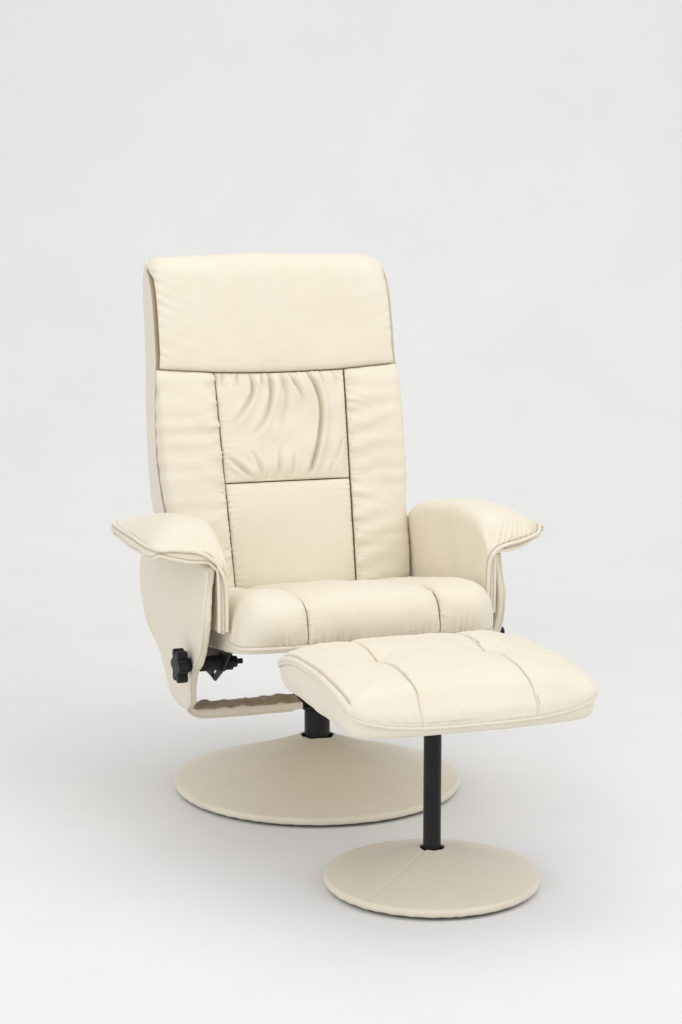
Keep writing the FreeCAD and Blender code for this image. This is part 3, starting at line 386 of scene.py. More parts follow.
class Finish:
    """A material in the making, in the object's own coordinates."""

    def __init__(self, name):
        self.material = bpy.data.materials.new(name)
        self.material.use_nodes = True
        self.nodes = self.material.node_tree.nodes
        self.link = self.material.node_tree.links.new
        self.shader = self.nodes["Principled BSDF"]
        self.at = self.nodes.new("ShaderNodeTexCoord").outputs["Object"]

    def set(self, **values):
        for key, value in values.items():
            self.shader.inputs[key.replace("_", " ")].default_value = value

    def noise(self, scale, detail, rough=0.5, at=None):
        tex = self.nodes.new("ShaderNodeTexNoise")
        tex.inputs["Scale"].default_value = scale
        tex.inputs["Detail"].default_value = detail
        tex.inputs["Roughness"].default_value = rough
        self.link(self.at if at is None else at, tex.inputs["Vector"])
        return tex.outputs["Fac"]

    def tones(self, source, *stops):
        """Colours for low and high values of a source."""
        node = self.nodes.new("ShaderNodeValToRGB")
        for element, (place, colour) in zip(node.color_ramp.elements, stops):
            element.position = place
            element.color = (*colour, 1)
        self.link(source, node.inputs["Fac"])
        return node.outputs["Color"]

    def colour(self, source):
        self.link(source, self.shader.inputs["Base Color"])

    def multiplied(self, first):
        """A mix node that darkens the first colour by its second."""
        node = self.nodes.new("ShaderNodeMix")
        node.data_type = "RGBA"
        node.blend_type = "MULTIPLY"
        self.link(first, node.inputs[6])
        return node

    def gloss(self, source, low, high):
        """Roughness that varies between two values."""
        node = self.nodes.new("ShaderNodeMapRange")
        node.inputs["To Min"].default_value = low
        node.inputs["To Max"].default_value = high
        self.link(source, node.inputs["Value"])
        self.link(node.outputs["Result"], self.shader.inputs["Roughness"])

    def bump(self, source, strength, distance):
        """Relief, on top of the relief that is there."""
        node = self.nodes.new("ShaderNodeBump")
        node.inputs["Strength"].default_value = strength
        node.inputs["Distance"].default_value = distance
        self.link(source, node.inputs["Height"])
        for before in self.shader.inputs["Normal"].links:
            self.link(before.from_socket, node.inputs["Normal"])
        self.link(node.outputs["Normal"], self.shader.inputs["Normal"])
        return node


def leather(name, light, dark):
    """Soft synthetic leather: fine pebbled grain, faint clouds of colour, darker in the grain, and painted
    shade in seams and folds from the seam_shade attribute.
    """
    finish = Finish(name)
    clouds = finish.noise(9.0, 4.0)
    cells = finish.nodes.new("ShaderNodeTexVoronoi")
    cells.inputs["Scale"].default_value = 620
    finish.link(finish.at, cells.inputs["Vector"])
    pores = finish.nodes.new("ShaderNodeMath")
    pores.operation = "MULTIPLY_ADD"
    finish.link(finish.noise(1500.0, 2.0), pores.inputs[0])
    pores.inputs[1].default_value = 0.35
    finish.link(cells.outputs["Distance"], pores.inputs[2])
    grained = finish.multiplied(finish.tones(clouds, (0.3, dark), (0.72, light)))
    grained.inputs["Factor"].default_value = 0.1
    finish.link(pores.outputs[0], grained.inputs[7])
    # Painted shade: the seam_shade attribute darkens the colour towards brown in seams, folds and shadowed
    # places.
    seam = finish.nodes.new("ShaderNodeAttribute")
    seam.attribute_name = "seam_shade"
    painted_seam_shade = finish.multiplied(grained.outputs[2])
    painted_seam_shade.inputs[7].default_value = (0.36, 0.29, 0.2, 1)
    finish.link(seam.outputs["Fac"], painted_seam_shade.inputs["Factor"])
    finish.colour(painted_seam_shade.outputs[2])
    finish.gloss(clouds, 0.4, 0.56)
    finish.bump(pores.outputs[0], 0.22, 0.0006).invert = True
    finish.bump(finish.noise(55.0, 5.0, 0.6), 0.06, 0.004)
    finish.set(Specular_IOR_Level=0.35, Sheen_Weight=0.08, Sheen_Roughness=0.4)
    return finish.material


def coated_steel(name):
    finish = Finish(name)
    clouds = finish.noise(25.0, 3.0)
    finish.colour(finish.tones(clouds, (0.3, (0.01, 0.01, 0.011)), (0.7, (0.017, 0.017, 0.018))))
    finish.gloss(clouds, 0.34, 0.5)
    finish.bump(finish.noise(900.0, 2.0), 0.12, 0.0003)
    finish.set(Specular_IOR_Level=0.25)
    return finish.material


def moulded_plastic(name):
    finish = Finish(name)
    wear = finish.noise(60.0, 4.0)
    finish.colour(finish.tones(wear, (0.35, (0.011, 0.011, 0.012)), (0.75, (0.02, 0.02, 0.021))))
    finish.gloss(wear, 0.42, 0.62)
    finish.bump(finish.noise(1800.0, 2.0), 0.2, 0.0002)
    finish.set(Specular_IOR_Level=0.22)
    return finish.material


def plated_metal(name, low, high):
    finish = Finish(name)
    clouds = finish.noise(180.0, 4.0)
    finish.colour(finish.tones(clouds, (0.3, low), (0.7, high)))
    finish.gloss(clouds, 0.26, 0.42)
    finish.set(Metallic=1.0)
    return finish.material


def raw_plywood(name):
    finish = Finish(name)
    stretch = finish.nodes.new("ShaderNodeMapping")
    stretch.inputs["Scale"].default_value = (60, 6, 60)
    finish.link(finish.at, stretch.inputs["Vector"])
    grain = finish.noise(2.0, 6.0, 0.65, stretch.outputs["Vector"])
    finish.colour(finish.tones(grain, (0.3, (0.36, 0.22, 0.11)), (0.7, (0.56, 0.4, 0.23))))
    finish.bump(grain, 0.15, 0.0005)
    finish.set(Roughness=0.7)
    return finish.material


cream = leather("cream_leather", (0.85, 0.785, 0.655), (0.825, 0.755, 0.62))
cream_base = leather("cream_leather_base", (0.81, 0.745, 0.615), (0.77, 0.705, 0.575))
steel = coated_steel("black_steel")
plastic = moulded_plastic("black_plastic")
zinc = plated_metal("bright_steel", (0.5, 0.5, 0.5), (0.66, 0.66, 0.65))
brass = plated_metal("brass", (0.62, 0.42, 0.16), (0.75, 0.55, 0.25))
plywood = raw_plywood("plywood")
slot_materials = dict(cream_leather=cream, black_steel=steel, black_plastic=plastic, bright_steel=zinc,
                      brass=brass, plywood=plywood)
for part in frame["record"]["subparts"]:
    data = NODES[part["node"]].data
    data.materials.clear()
    data.materials.append(slot_materials[part["material_slot"]])
# Bolts and nuts of the clamps are blackened
for name in ("clamp_bolts", "lock_nuts"):
    NODES[name].data.materials.clear()
    NODES[name].data.materials.append(steel)


# Surfaces drawn as grids

def closed_object(name, co, faces):
    """Object with all its faces turned outward."""
    data = bpy.data.meshes.new(name)
    data.from_pydata(co.tolist(), [], faces)
    mesh = bmesh.new()
    mesh.from_mesh(data)
    bmesh.ops.recalc_face_normals(mesh, faces=mesh.faces)
    mesh.to_mesh(data)
    mesh.free()
    return add_object(name, data)


def loop_faces(rows, cols, bands):
    """Faces between neighbouring loops of points. With as many bands as loops, the last joins the first."""
    faces = []
    for i in range(bands):
        j = (i + 1) % rows
        for k in range(cols):
            m = (k + 1) % cols
            faces.append((i * cols + k, i * cols + m, j * cols + m, j * cols + k))
    return faces


def stacked_loops(name, loops):
    """Closed object from loops of points one above the other, with a cap at both ends."""
    rows, cols = loops.shape[:2]
    caps = [tuple(range(cols)), tuple(range((rows - 1) * cols, rows * cols))]
    return closed_object(name, loops.reshape(-1, 3), loop_faces(rows, cols, rows - 1) + caps)


def sewn_piece(name, grid, behind):
    """Closed piece: a grid for what shows, walls from its border to where behind puts it, and a cap."""
    rows, cols = grid.shape[:2]
    index = np.arange(rows * cols).reshape(rows, cols)
    corners = [index[:-1, :-1], index[1:, :-1], index[1:, 1:], index[:-1, 1:]]
    faces = np.stack(corners, axis=-1).reshape(-1, 4).tolist()
    border = np.concatenate([index[0, :-1], index[:-1, -1], index[-1, :0:-1], index[:0:-1, 0]])
    co = grid.reshape(-1, 3)
    back = behind(co[border])
    first = len(co)
    count = len(border)
    for i in range(count):
        j = (i + 1) % count
        faces.append([int(border[i]), int(border[j]), first + j, first + i])
    faces.append(list(range(first, first + count)))
    return closed_object(name, np.vstack([co, back]), faces)


def places(*coordinates):
    """Points from their coordinates, in the shape that these have."""
    return np.stack(coordinates, axis=-1)


def grid_normals(grid):
    a = np.gradient(grid, axis=0)
    b = np.gradient(grid, axis=1)
    n = np.cross(a, b)
    return n / np.maximum(np.linalg.norm(n, axis=2, keepdims=True), 1e-12)


def lifted(grid, amounts, outward):
    """Grid moved along its normals, on the side that outward points to."""
    n = grid_normals(grid)
    n *= np.where((n * np.asarray(outward)).sum(axis=2, keepdims=True) < 0, -1, 1)
    return grid + n * amounts[..., None]


def dense_ends(count):
    """Places from -1 to 1, close together at both ends."""
    return -np.cos(np.linspace(0, np.pi, count))


def quarter(theta, power):
    """Rounded quarter turn: how far out, and how much of the height is left."""
    return np.sin(theta) ** (2 / power), np.cos(theta) ** (2 / power)


def flat_lumps(a, b, size, seed):
    return lumps(places(a, b, np.zeros_like(a)).reshape(-1, 3), size, seed).reshape(a.shape)


# Back: seams as seen on its front and sides, in the back's own frame
HEAD_SEAM = 0.425
MIDDLE_SEAM = 0.204
BACK_LOW = -0.014
SEAM_DEPTH = 0.004
SEAM_GAP = 0.0006
BACK_HALF = 0.25
HEAD_INSET = 0.0075
HEAD_REAR = 0.06
BOLSTER_CROWN = 0.0165
BOLSTER_REAR = 0.044
PANEL_HALF = 0.13
PANEL_HEIGHT = 0.22
PANEL_REAR = 0.043
LOWER_PANEL_HALF = 0.128
SIDE_SEAM = ((-0.014, 0.04), (0.08, 0.036), (0.158, 0.026), (0.2, 0.03), (0.262, 0.034), (0.32, 0.026),
             (0.378, 0.012), (0.43, 0.0), (0.49, -0.004), (0.566, -0.006), (0.602, -0.002), (0.64, 0.016),
             (0.655, 0.034), (0.668, 0.05), (0.68, 0.062))
HALF_WIDTH = ((-0.014, 0.247), (0.03, 0.249), (0.1, 0.25), (0.145, 0.2505), (0.19, 0.255), (0.25, 0.258),
              (0.36, 0.258), (0.42, 0.256), (0.46, 0.253), (0.6, 0.2525), (0.64, 0.2525), (0.653, 0.2515),
              (0.663, 0.249), (0.67, 0.244), (0.675, 0.236), (0.678, 0.224))
REAR_DEPTH = ((-0.014, 0.15), (0.0966, 0.162), (0.297, 0.155), (0.442, 0.136), (0.5595, 0.115), (0.61, 0.109),
              (0.639, 0.103), (0.654, 0.095), (0.662, 0.086), (0.6665, 0.076))


def side_seam(up):
    """Depth of the seam between the front cushions and the cover behind, along the side of the back."""
    return sum(between(SIDE_SEAM, up + k) for k in (-0.02, -0.01, 0, 0.01, 0.02)) / 5


def head_inset(up):
    """How far the sides of the head cushion lie inside the cover behind."""
    return HEAD_INSET * step(0.665, 0.62, up)


def head_seam(x):
    """Height of the seam under the head cushion, which rises towards the sides."""
    return HEAD_SEAM + 0.012 * (x / BACK_HALF) ** 2


def seam_half_span(up):
    """How far the seams beside the middle panels are from the middle."""
    return BACK_HALF * (0.51 + 0.04 * np.clip(up / HEAD_SEAM, 0, 1))


def back_grid(x, up, depth):
    return places(*back_place(x, up, depth))


def to_back_plane(depth):
    """Puts the border of a pad a little further in, at one depth."""
    def behind(co):
        x, up, _ = back_local(co)
        return back_grid(x * 0.985, up * 0.996, np.full(len(x), depth))
    return behind


def rolled_in(x, depth):
    """Two more columns at the outer edge, turned into the side seam."""
    last_x, last_depth = x[:, -1:], depth[:, -1:]
    sign = np.sign(last_x)
    return (np.hstack([x, last_x - sign * 0.0016, last_x - sign * 0.006]),
            np.hstack([depth, last_depth + 0.001, last_depth + 0.0016]))


def side_seam_shade(edge, depth):
    return bell(edge + 0.0013 - depth, 0.0022)


FRONT = (0, -math.cos(LEAN), math.sin(LEAN))

# Head cushion: rolls over the top, soft folds over its lower seam and in from its sides
path = smooth_line([(0, u, v) for u, v in (
    (0.4255, 0.0045), (0.4285, -0.004), (0.438, -0.01), (0.47, -0.013), (0.53, -0.014), (0.585, -0.016),
    (0.622, -0.0155), (0.645, -0.0095), (0.661, 0.002), (0.6715, 0.016), (0.6765, 0.032), (0.6765, 0.048),
    (0.671, 0.062), (0.664, 0.069), (0.654, 0.073), (0.646, 0.0745))], 150)
side = dense_ends(230)
up_c = path[:, 1:2] + 0 * side
depth_c = path[:, 2:3] + 0 * side
over_top = step(0.6, 0.675, up_c)
half = between(HALF_WIDTH, up_c) - head_inset(up_c) - 0.013 * step(0.056, 0.073, depth_c)
reach = abs(side) ** 0.9
edge = np.maximum(side_seam(up_c), depth_c + 0.004)
round_off = 1 - (1 - np.clip(reach, 0, 1) ** 9.0) ** (1 / 2.5)
x = half * np.sign(side) * reach
depth = depth_c + (edge - depth_c) * round_off
up = up_c - 0.004 * over_top * (x / 0.2) ** 2
up = up + (head_seam(x) - HEAD_SEAM) * step(0.53, HEAD_SEAM, up_c)
x, depth = rolled_in(x, depth)
x, depth = (a[:, ::-1] for a in rolled_in(x[:, ::-1], depth[:, ::-1]))
up, up_c, depth_c, over_top, half, edge = (
    np.pad(a, ((0, 0), (2, 2)), mode="edge") for a in (up, up_c, depth_c, over_top, half, edge))
grid = back_grid(x, up, depth)
low_gap = abs(up - head_seam(x)) + 0.2 * over_top
side_gap = np.maximum(edge - depth, 0) + 0.6 * np.maximum(half - abs(x), 0)
fold = gathers(x + 0.3, low_gap, 11, 0.046, 0.0014, 0.03, 0.25)
fold += gathers(x + 0.3, low_gap, 14, 0.019, 0.0007, 0.012)
fold += np.where(x < 0, gathers(up, side_gap, 12, 0.024, 0.003, 0.017, 0.7),
                 gathers(up, side_gap, 17, 0.03, 0.002, 0.015, 0.7))
fold += 0.0012 * flat_lumps(x, up, 0.16, 13) + 0.0004 * flat_lumps(x, up, 0.05, 19)
fold *= step(0.0, 0.005, low_gap) * step(0.0, 0.005, side_gap)
head = sewn_piece("head_cushion", lifted(grid, fold, FRONT), to_back_plane(HEAD_REAR))
# Painted shade along the side seam, stronger on the left side, which is more in shade, and a painted dark
# line along the lower seam.
side_shade = np.where(x < 0, 1, 0.35) * side_seam_shade(edge, depth)
side_shade *= (side_gap < 0.02) * step(0.055, 0.035, depth_c)
shade_seams(head, 0.8 * bell(low_gap, 0.0011) + side_shade)
finish_pad(head, "head_pad", "back", cream)

# Bolsters: round over to the side seam, creases in from both long seams
for seed, label, sign in ((21, "left", -1), (41, "right", 1)):
    up = np.linspace(BACK_LOW, HEAD_SEAM - 0.0008, 190)[:, None]
    t = np.clip((2 * up - HEAD_SEAM - BACK_LOW) / (HEAD_SEAM - BACK_LOW), -1, 1)
    ends = (1 - abs(t) ** 9) ** (1 / 3.0)
    inner_x = seam_half_span(up) + SEAM_GAP
    outer_x = between(HALF_WIDTH, up)
    crown_x = inner_x + 0.46 * (outer_x - inner_x)
    crown = SEAM_DEPTH - (SEAM_DEPTH + BOLSTER_CROWN) * ends
    out_in, left_in = quarter(np.linspace(np.pi / 2, 0, 50)[None, :], 2.7)
    out_out, left_out = quarter(np.linspace(0, np.pi / 2, 86)[None, 1:], 5.0)
    x = np.hstack([crown_x - (crown_x - inner_x) * out_in, crown_x + (outer_x - crown_x) * out_out])
    edge = side_seam(up)
    depth = np.hstack([SEAM_DEPTH - (SEAM_DEPTH - crown) * left_in, edge - (edge - crown) * left_out])
    x, depth = rolled_in(x, depth)
    up = BACK_LOW + (up - BACK_LOW) * (head_seam(x) - BACK_LOW) / (HEAD_SEAM - BACK_LOW)
    grid = back_grid(sign * x, up, depth)
    inner = x - inner_x
    outer = np.maximum(edge - depth, 0)
    top_gap = head_seam(x) - up
    fold = gathers(up, inner, seed, 0.011, 0.002, 0.008)
    fold += gathers(up, inner, seed + 2, 0.026, 0.0024, 0.022, 0.35)
    fold += gathers(up, inner, seed + 3, 0.052, 0.0034, 0.055, -0.35)
    fold += gathers(up, outer, seed + 6, 0.036, 0.003, 0.05, 0.25)
    fold += gathers(x, top_gap, seed + 9, 0.03, 0.001, 0.018)
    fold += 0.0012 * flat_lumps(x, up, 0.12, seed + 12) + 0.0005 * flat_lumps(x, up, 0.045, seed + 15)
    fold *= step(0.0, 0.003, inner) * step(0.0, 0.004, top_gap) * step(0.0, 0.006, outer)
    grid = lifted(grid, fold, (sign * 0.5, FRONT[1], FRONT[2]))
    ob = sewn_piece(label + "_bolster_cushion", grid, to_back_plane(BOLSTER_REAR))
    shade_seams(ob, 0.9 * bell(inner, 0.0009) + bell(top_gap, 0.001) + side_seam_shade(edge, depth))
    finish_pad(ob, label + "_back_bolster", "back", cream)


def middle_panel(low, high, crown, power):
    """Puffed panel between two heights: its grid, and the shares across (-1 to 1) and up (0 to 1)."""
    s = dense_ends(150)[None, :]
    t = dense_ends(130)[:, None]
    up = (low + high) / 2 + (high - low) / 2 * t + 0 * s
    x = s * (seam_half_span(up) - SEAM_GAP)
    if high > MIDDLE_SEAM:
        up = low + (up - low) * (head_seam(x) - low) / (HEAD_SEAM - low)
    puff = ((1 - abs(s) ** power) * (1 - abs(t) ** power)) ** (1 / 2.6)
    depth = SEAM_DEPTH - (SEAM_DEPTH + crown) * puff
    return x, up, depth, s + 0 * t, (t + 1) / 2 + 0 * s


# Gathered panel in the middle of the back: long folds from the upper seam, short ones below.
# Each fold has its points, as shares across and up the panel, its height and its width.
RUCHES = (
    (((-0.46, 1.0), (-0.47, 0.81), (-0.66, 0.62), (-0.8, 0.52)), 0.0044, 0.012),
    (((-0.17, 1.0), (-0.19, 0.76), (-0.32, 0.55), (-0.52, 0.4)), 0.005, 0.013),
    (((0.02, 0.97), (0.05, 0.72), (-0.05, 0.5), (-0.1, 0.34)), 0.003, 0.015),
    (((0.14, 0.98), (0.28, 0.8), (0.33, 0.66)), 0.004, 0.012),
    (((0.41, 1.0), (0.53, 0.83), (0.58, 0.67), (0.56, 0.48), (0.45, 0.24), (0.33, 0.03)), 0.005, 0.013),
    (((-0.95, 0.24), (-0.74, 0.13), (-0.55, 0.02)), 0.0038, 0.012),
    (((-0.6, 0.3), (-0.46, 0.16), (-0.4, 0.02)), 0.0026, 0.011),
    (((-0.1, 0.32), (-0.15, 0.05)), 0.003, 0.013),
    (((0.12, 0.26), (0.06, 0.03)), 0.0026, 0.011),
    (((0.74, 0.16), (0.64, 0.02)), 0.0022, 0.009),
    (((0.92, 0.36), (0.8, 0.16)), 0.002, 0.011),
    (((-0.88, 1.0), (-0.93, 0.86)), 0.0028, 0.008),
    (((-0.66, 1.0), (-0.7, 0.86)), 0.003, 0.008),
    (((-0.3, 1.0), (-0.31, 0.84)), 0.0028, 0.008),
    (((0.62, 1.0), (0.66, 0.86)), 0.0028, 0.008),
    (((0.8, 1.0), (0.9, 0.88)), 0.0028, 0.008),
)
x, up, depth, s, t = middle_panel(MIDDLE_SEAM + SEAM_GAP, HEAD_SEAM - SEAM_GAP, 0.0115, 4.5)
flat = places(s * PANEL_HALF, t * PANEL_HEIGHT, 0 * s).reshape(-1, 3)
side_gap = (1 - abs(s)) * PANEL_HALF
fold = np.zeros(len(flat))
shadow = np.zeros(len(flat))
for points, high, width in RUCHES:
    line = smooth_line([(px * PANEL_HALF, pt * PANEL_HEIGHT, 0) for px, pt in points], 40)
    d, run = along(line, flat)
    share = np.clip(run / run_lengths(line)[-1], 0, 1)
    from_top, to_foot = points[0][1] > 0.95, points[-1][1] < 0.06
    fade = np.where(from_top, 1, 1 - (1 - share) ** 2.2) * np.where(to_foot, 1, 1 - share ** 2.2)
    ridge = bell(d - 0.75 * width, 0.6 * width)
    fold += 1.9 * high * fade * (0.75 * ridge - bell(d, 0.3 * width))
    shadow += high / 0.006 * fade * bell(d, 0.24 * width)
fold = fold.reshape(x.shape) * step(0, 0.14, t) * step(0, 0.1, 1 - abs(s))
fold *= 0.35 + 0.65 * step(0, 0.1, 1 - t)
fold += gathers(x + 0.3, (1 - t) * PANEL_HEIGHT, 51, 0.0165, 0.0026, 0.028, 0.15)
fold += gathers(x + 0.3, t * PANEL_HEIGHT, 55, 0.019, 0.0018, 0.018, -0.3)
fold += 0.0016 * flat_lumps(x, up, 0.07, 58)
fold += gathers(up, side_gap, 57, 0.011, 0.0019, 0.008)
fold *= step(0, 0.03, 1 - abs(s)) * step(0, 0.02, t) * step(0, 0.02, 1 - t)
grid = lifted(back_grid(x, up, depth), fold, FRONT)
ob = sewn_piece("upper_back_cushion", grid, to_back_plane(PANEL_REAR))
border = np.minimum(side_gap, np.minimum(t, 1 - t) * PANEL_HEIGHT)
shadow = 0.32 * np.clip(shadow.reshape(x.shape), 0, 1) * step(0, 0.1, t)
shade_seams(ob, 0.9 * bell(border, 0.001) + shadow)
finish_pad(ob, "upper_back_pad", "back", cream)

# Smooth panel below it, with fine puckers along its seams
x, up, depth, s, t = middle_panel(BACK_LOW, MIDDLE_SEAM - SEAM_GAP, 0.0095, 5.5)
side_gap = (1 - abs(s)) * LOWER_PANEL_HALF
fold = gathers(up, side_gap, 61, 0.013, 0.0017, 0.009)
fold += gathers(x + 0.3, MIDDLE_SEAM - up, 64, 0.021, 0.0009, 0.011)
fold += 0.0009 * flat_lumps(x, up, 0.15, 66)
fold *= step(0, 0.03, 1 - abs(s)) * step(0, 0.02, 1 - t)
grid = lifted(back_grid(x, up, depth), fold, FRONT)
ob = sewn_piece("lower_back_cushion", grid, to_back_plane(PANEL_REAR))
shade_seams(ob, bell(np.minimum(side_gap, MIDDLE_SEAM - up), 0.0011))
finish_pad(ob, "lower_back_pad", "back", cream)


# Cover of the rear and sides of the back, one closed loop at each height
REAR_NARROWER = 0.0065
REAR_BOW = 0.006
REAR_CORNER = 0.02


def rear_cover():
    ups = np.concatenate([np.linspace(BACK_LOW, 0.625, 190), np.linspace(0.628, 0.666, 26)])
    rear = between(REAR_DEPTH, ups)
    rear = np.convolve(np.pad(rear, 8, mode="edge"), np.ones(17) / 17, "valid")
    loops = []
    for u, r in zip(ups, rear):
        w = float(between(HALF_WIDTH, u)) + 0.0004
        lip = min(float(side_seam(u)) + 0.0036, r - 0.004)
        corner = min(REAR_CORNER, (r - lip) * 0.8)
        angle = np.linspace(0, np.pi / 2, 22)[1:]
        to_rear = np.linspace(0, 1, 30)
        side_run = lip + 0.0022 + (r - corner - lip - 0.0022) * to_rear
        swell_out = 0.0012 * np.sin(np.pi * to_rear)
        inset = float(head_inset(u) * step(0.415, 0.44, u))
        right = [(w - 0.0065 - inset, lip - 0.0006), (w - 0.0022 - inset, lip - 0.2 * inset)]
        right += [(w - 0.0015 - 0.45 * inset, lip), (w - 0.0009 - 0.12 * inset, lip + 0.001)]
        right += list(zip(w - 0.0004 + swell_out - REAR_NARROWER * to_rear, side_run))
        w = w - REAR_NARROWER
        flat = w - corner
        right += list(zip(flat + corner * np.cos(angle), r - corner + corner * np.sin(angle)))
        right += [(px, r + REAR_BOW * (1 - (px / flat) ** 2)) for px in np.linspace(flat, 0, 46)[1:]]
        left = [(-px, pv) for px, pv in right[-2::-1]]
        inside = [(-w + 0.03, max(lip, 0.045)), (w - 0.03, max(lip, 0.045))]
        loops.append([back_place(px, u, pv) for px, pv in right + left + inside])
    return stacked_loops("back_cover", np.array(loops))


shell = rear_cover()
co = vertices(shell)
x, up, depth = back_local(co)
fold = 0.001 * lumps(co * np.array([1, 1, 0.4]), 0.11, 71)
from_seam = depth - side_seam(up)
fold += gathers(up, np.maximum(from_seam, 0), 73, 0.045, 0.0012, 0.035)
fold += gathers(x + 0.4, np.maximum(up - BACK_LOW, 0), 76, 0.05, 0.001, 0.04)
displace(shell, fold * step(0.006, 0.016, from_seam))
# Painted shade beside the side seam, stronger on the left side, which is more in shade, and fading out over
# the top.
at_sides = step(0.215, 0.225, abs(x)) * np.where(x < 0, 1, 0.5) * step(0.656, 0.64, up)
shade_seams(shell, bell(np.maximum(from_seam - 0.0036, 0), 0.0026) * at_sides)
finish_pad(shell, "back_shell", "back", cream)

# Seat cushion: three lobes that run over the top and down the front, sewn along two channels
CHANNEL = 0.1258
SEAT_HALF = 0.2445
SEAT_CORNER = 0.046
SEAT_CORNER_START = 0.1
SEAT_BAND_WIDER = 0.0125
SEAT_SEAM = ((-0.012, 0.0115), (0.0, 0.0125), (0.04, 0.0145), (0.07, 0.0175), (0.088, 0.023), (0.102, 0.033),
             (0.115, 0.046), (0.13, 0.057), (0.15, 0.063), (0.44, 0.066))


def seat_seam_height(depth):
    """Height of the seam between cushion and band, along the side."""
    return between(SEAT_SEAM, depth)


def seat_corner_line(share):
    """Places on the seam from the side, round the front corner, to the front, for shares from 0 to 1."""
    start = SEAT_HALF - SEAT_CORNER
    turn = np.radians(np.linspace(0, 90, 12))
    plan = [(SEAT_HALF, SEAT_CORNER_START), (SEAT_HALF, 0.07)]
    plan += [(start + SEAT_CORNER * np.cos(a), 0.042 - SEAT_CORNER * np.sin(a)) for a in turn]
    plan.append((0.186, -0.0068))
    plan = np.array(plan)
    run = run_lengths(plan)
    return tuple(np.interp(share * run[-1], run, plan[:, k]) for k in (0, 1))


path = smooth_line([(0, d, h) for d, h in (
    (0.442, 0.078), (0.435, 0.095), (0.405, 0.102), (0.3, 0.105), (0.18, 0.1085), (0.08, 0.111),
    (0.035, 0.1085), (0.006, 0.101), (-0.014, 0.087), (-0.0245, 0.068), (-0.026, 0.048), (-0.02, 0.03),
    (-0.011, 0.0165), (-0.006, 0.0115))], 250)
away = np.gradient(path, axis=0)
away = places(0 * away[:, 0], away[:, 2], -away[:, 1])
away /= np.linalg.norm(away, axis=1, keepdims=True)
path_run = run_lengths(path)
from_front_seam = (path_run[-1] - path_run)[:, None]
centre = dense_ends(110)[None, :]
lobe_side_in, left_in = quarter(np.linspace(np.pi / 2, 0, 56)[None, :], 2.5)
lobe_side_out, left_out = quarter(np.linspace(0, np.pi / 2, 74)[None, 1:], 2.6)
crown_x = 0.185
turn_in = np.interp(SEAT_CORNER_START, path[::-1, 1], path_run[::-1])
corner_share = np.clip((path_run - turn_in) / (path_run[-1] - turn_in), 0, 1)
corner_x, corner_d = seat_corner_line(corner_share)
edge_d = np.where(corner_share > 0, corner_d, path[:, 1])
edge_h = seat_seam_height(edge_d)
edge_x = np.where(corner_share > 0, corner_x, SEAT_HALF)[:, None]
none = 0 * edge_x
right_x = np.hstack([crown_x - (crown_x - CHANNEL) * lobe_side_in + none,
                     crown_x + (edge_x - crown_x) * lobe_side_out])
channel_depth = 0.0165 * step(0.0, 0.05, from_front_seam) + 0.001
inner_drop = channel_depth * (1 - left_in)
mid_drop = channel_depth * (1 - (1 - abs(centre) ** 2.8) ** (1 / 2.1)) - 0.003 * (1 - centre ** 2)
slit = np.full_like(none, CHANNEL)
slit_drop = channel_depth + 0.008
x = np.hstack([-right_x[:, ::-1] - 0.0008, -slit, CHANNEL * 0.993 * centre + none, slit, right_x + 0.0008])
drop = np.hstack([inner_drop[:, ::-1], slit_drop, mid_drop, slit_drop, inner_drop])
path_d, path_h = path[:, 1:2], path[:, 2:3]
middle_d = path_d - away[:, 1:2] * drop
middle_h = path_h - away[:, 2:3] * drop
outer_d = path_d + (edge_d[:, None] - path_d) * (1 - left_out)
outer_h = path_h + (edge_h[:, None] - path_h) * (1 - left_out)
depth = np.hstack([outer_d[:, ::-1], middle_d, outer_d])
height = np.hstack([outer_h[:, ::-1], middle_h, outer_h])
grid = places(*seat_place(x, depth, height))
to_channel = abs(abs(x) - CHANNEL)
run = path_run[:, None] + 0 * x
fold = gathers(run, to_channel, 81, 0.012, 0.002, 0.009, 0.25)
fold += gathers(run, to_channel, 83, 0.034, 0.0016, 0.03, -0.3)
at_front = step(0.205, 0.18, abs(x))
fold += at_front * gathers(x + 0.3, from_front_seam, 84, 0.0145, 0.0036, 0.024, 0.08)
fold += at_front * gathers(x + 0.3, from_front_seam, 88, 0.034, 0.0016, 0.038, -0.1)
fold += 0.0013 * flat_lumps(x, run, 0.15, 87) + 0.0004 * flat_lumps(x, run, 0.05, 86)
from_side_seam = np.hypot(depth - edge_d[:, None], height - edge_h[:, None])
from_side_seam = np.where(abs(x) > crown_x, from_side_seam, 1.0)
at_side = step(0.36, 0.3, depth) * (1 - 0.85 * step(0.2, 0.5, corner_share)[:, None])
fold += gathers(run, from_side_seam, 89, 0.015, 0.0026, 0.022) * at_side
fold *= step(0.001, 0.004, to_channel) * step(0, 0.005, from_front_seam) * step(0, 0.006, from_side_seam)
outward = places(np.sign(x) * step(crown_x, 0.23, abs(x)), away[:, 1:2] + 0 * x, away[:, 2:3] + 0 * x)


def under_seat(co):
    x, depth, height = seat_local(co)
    height = np.minimum(height - 0.002, seat_seam_height(depth) + 0.001)
    return places(*seat_place(x * 0.97, np.clip(depth, 0.004, 0.431), height))


seat = sewn_piece("seat_upholstery", lifted(grid, fold, outward), under_seat)
edge_gap = np.minimum(from_front_seam, from_side_seam)
# Painted shade in the channels and along the edge seams, and a broad painted shade over the lower front,
# where it turns under.
shaded = 0.75 * bell(to_channel, 0.001) + bell(edge_gap, 0.0036) + 0.16 * bell(from_front_seam, 0.022)
shade_seams(seat, shaded)
finish_pad(seat, "seat_cushion", "seat", cream)

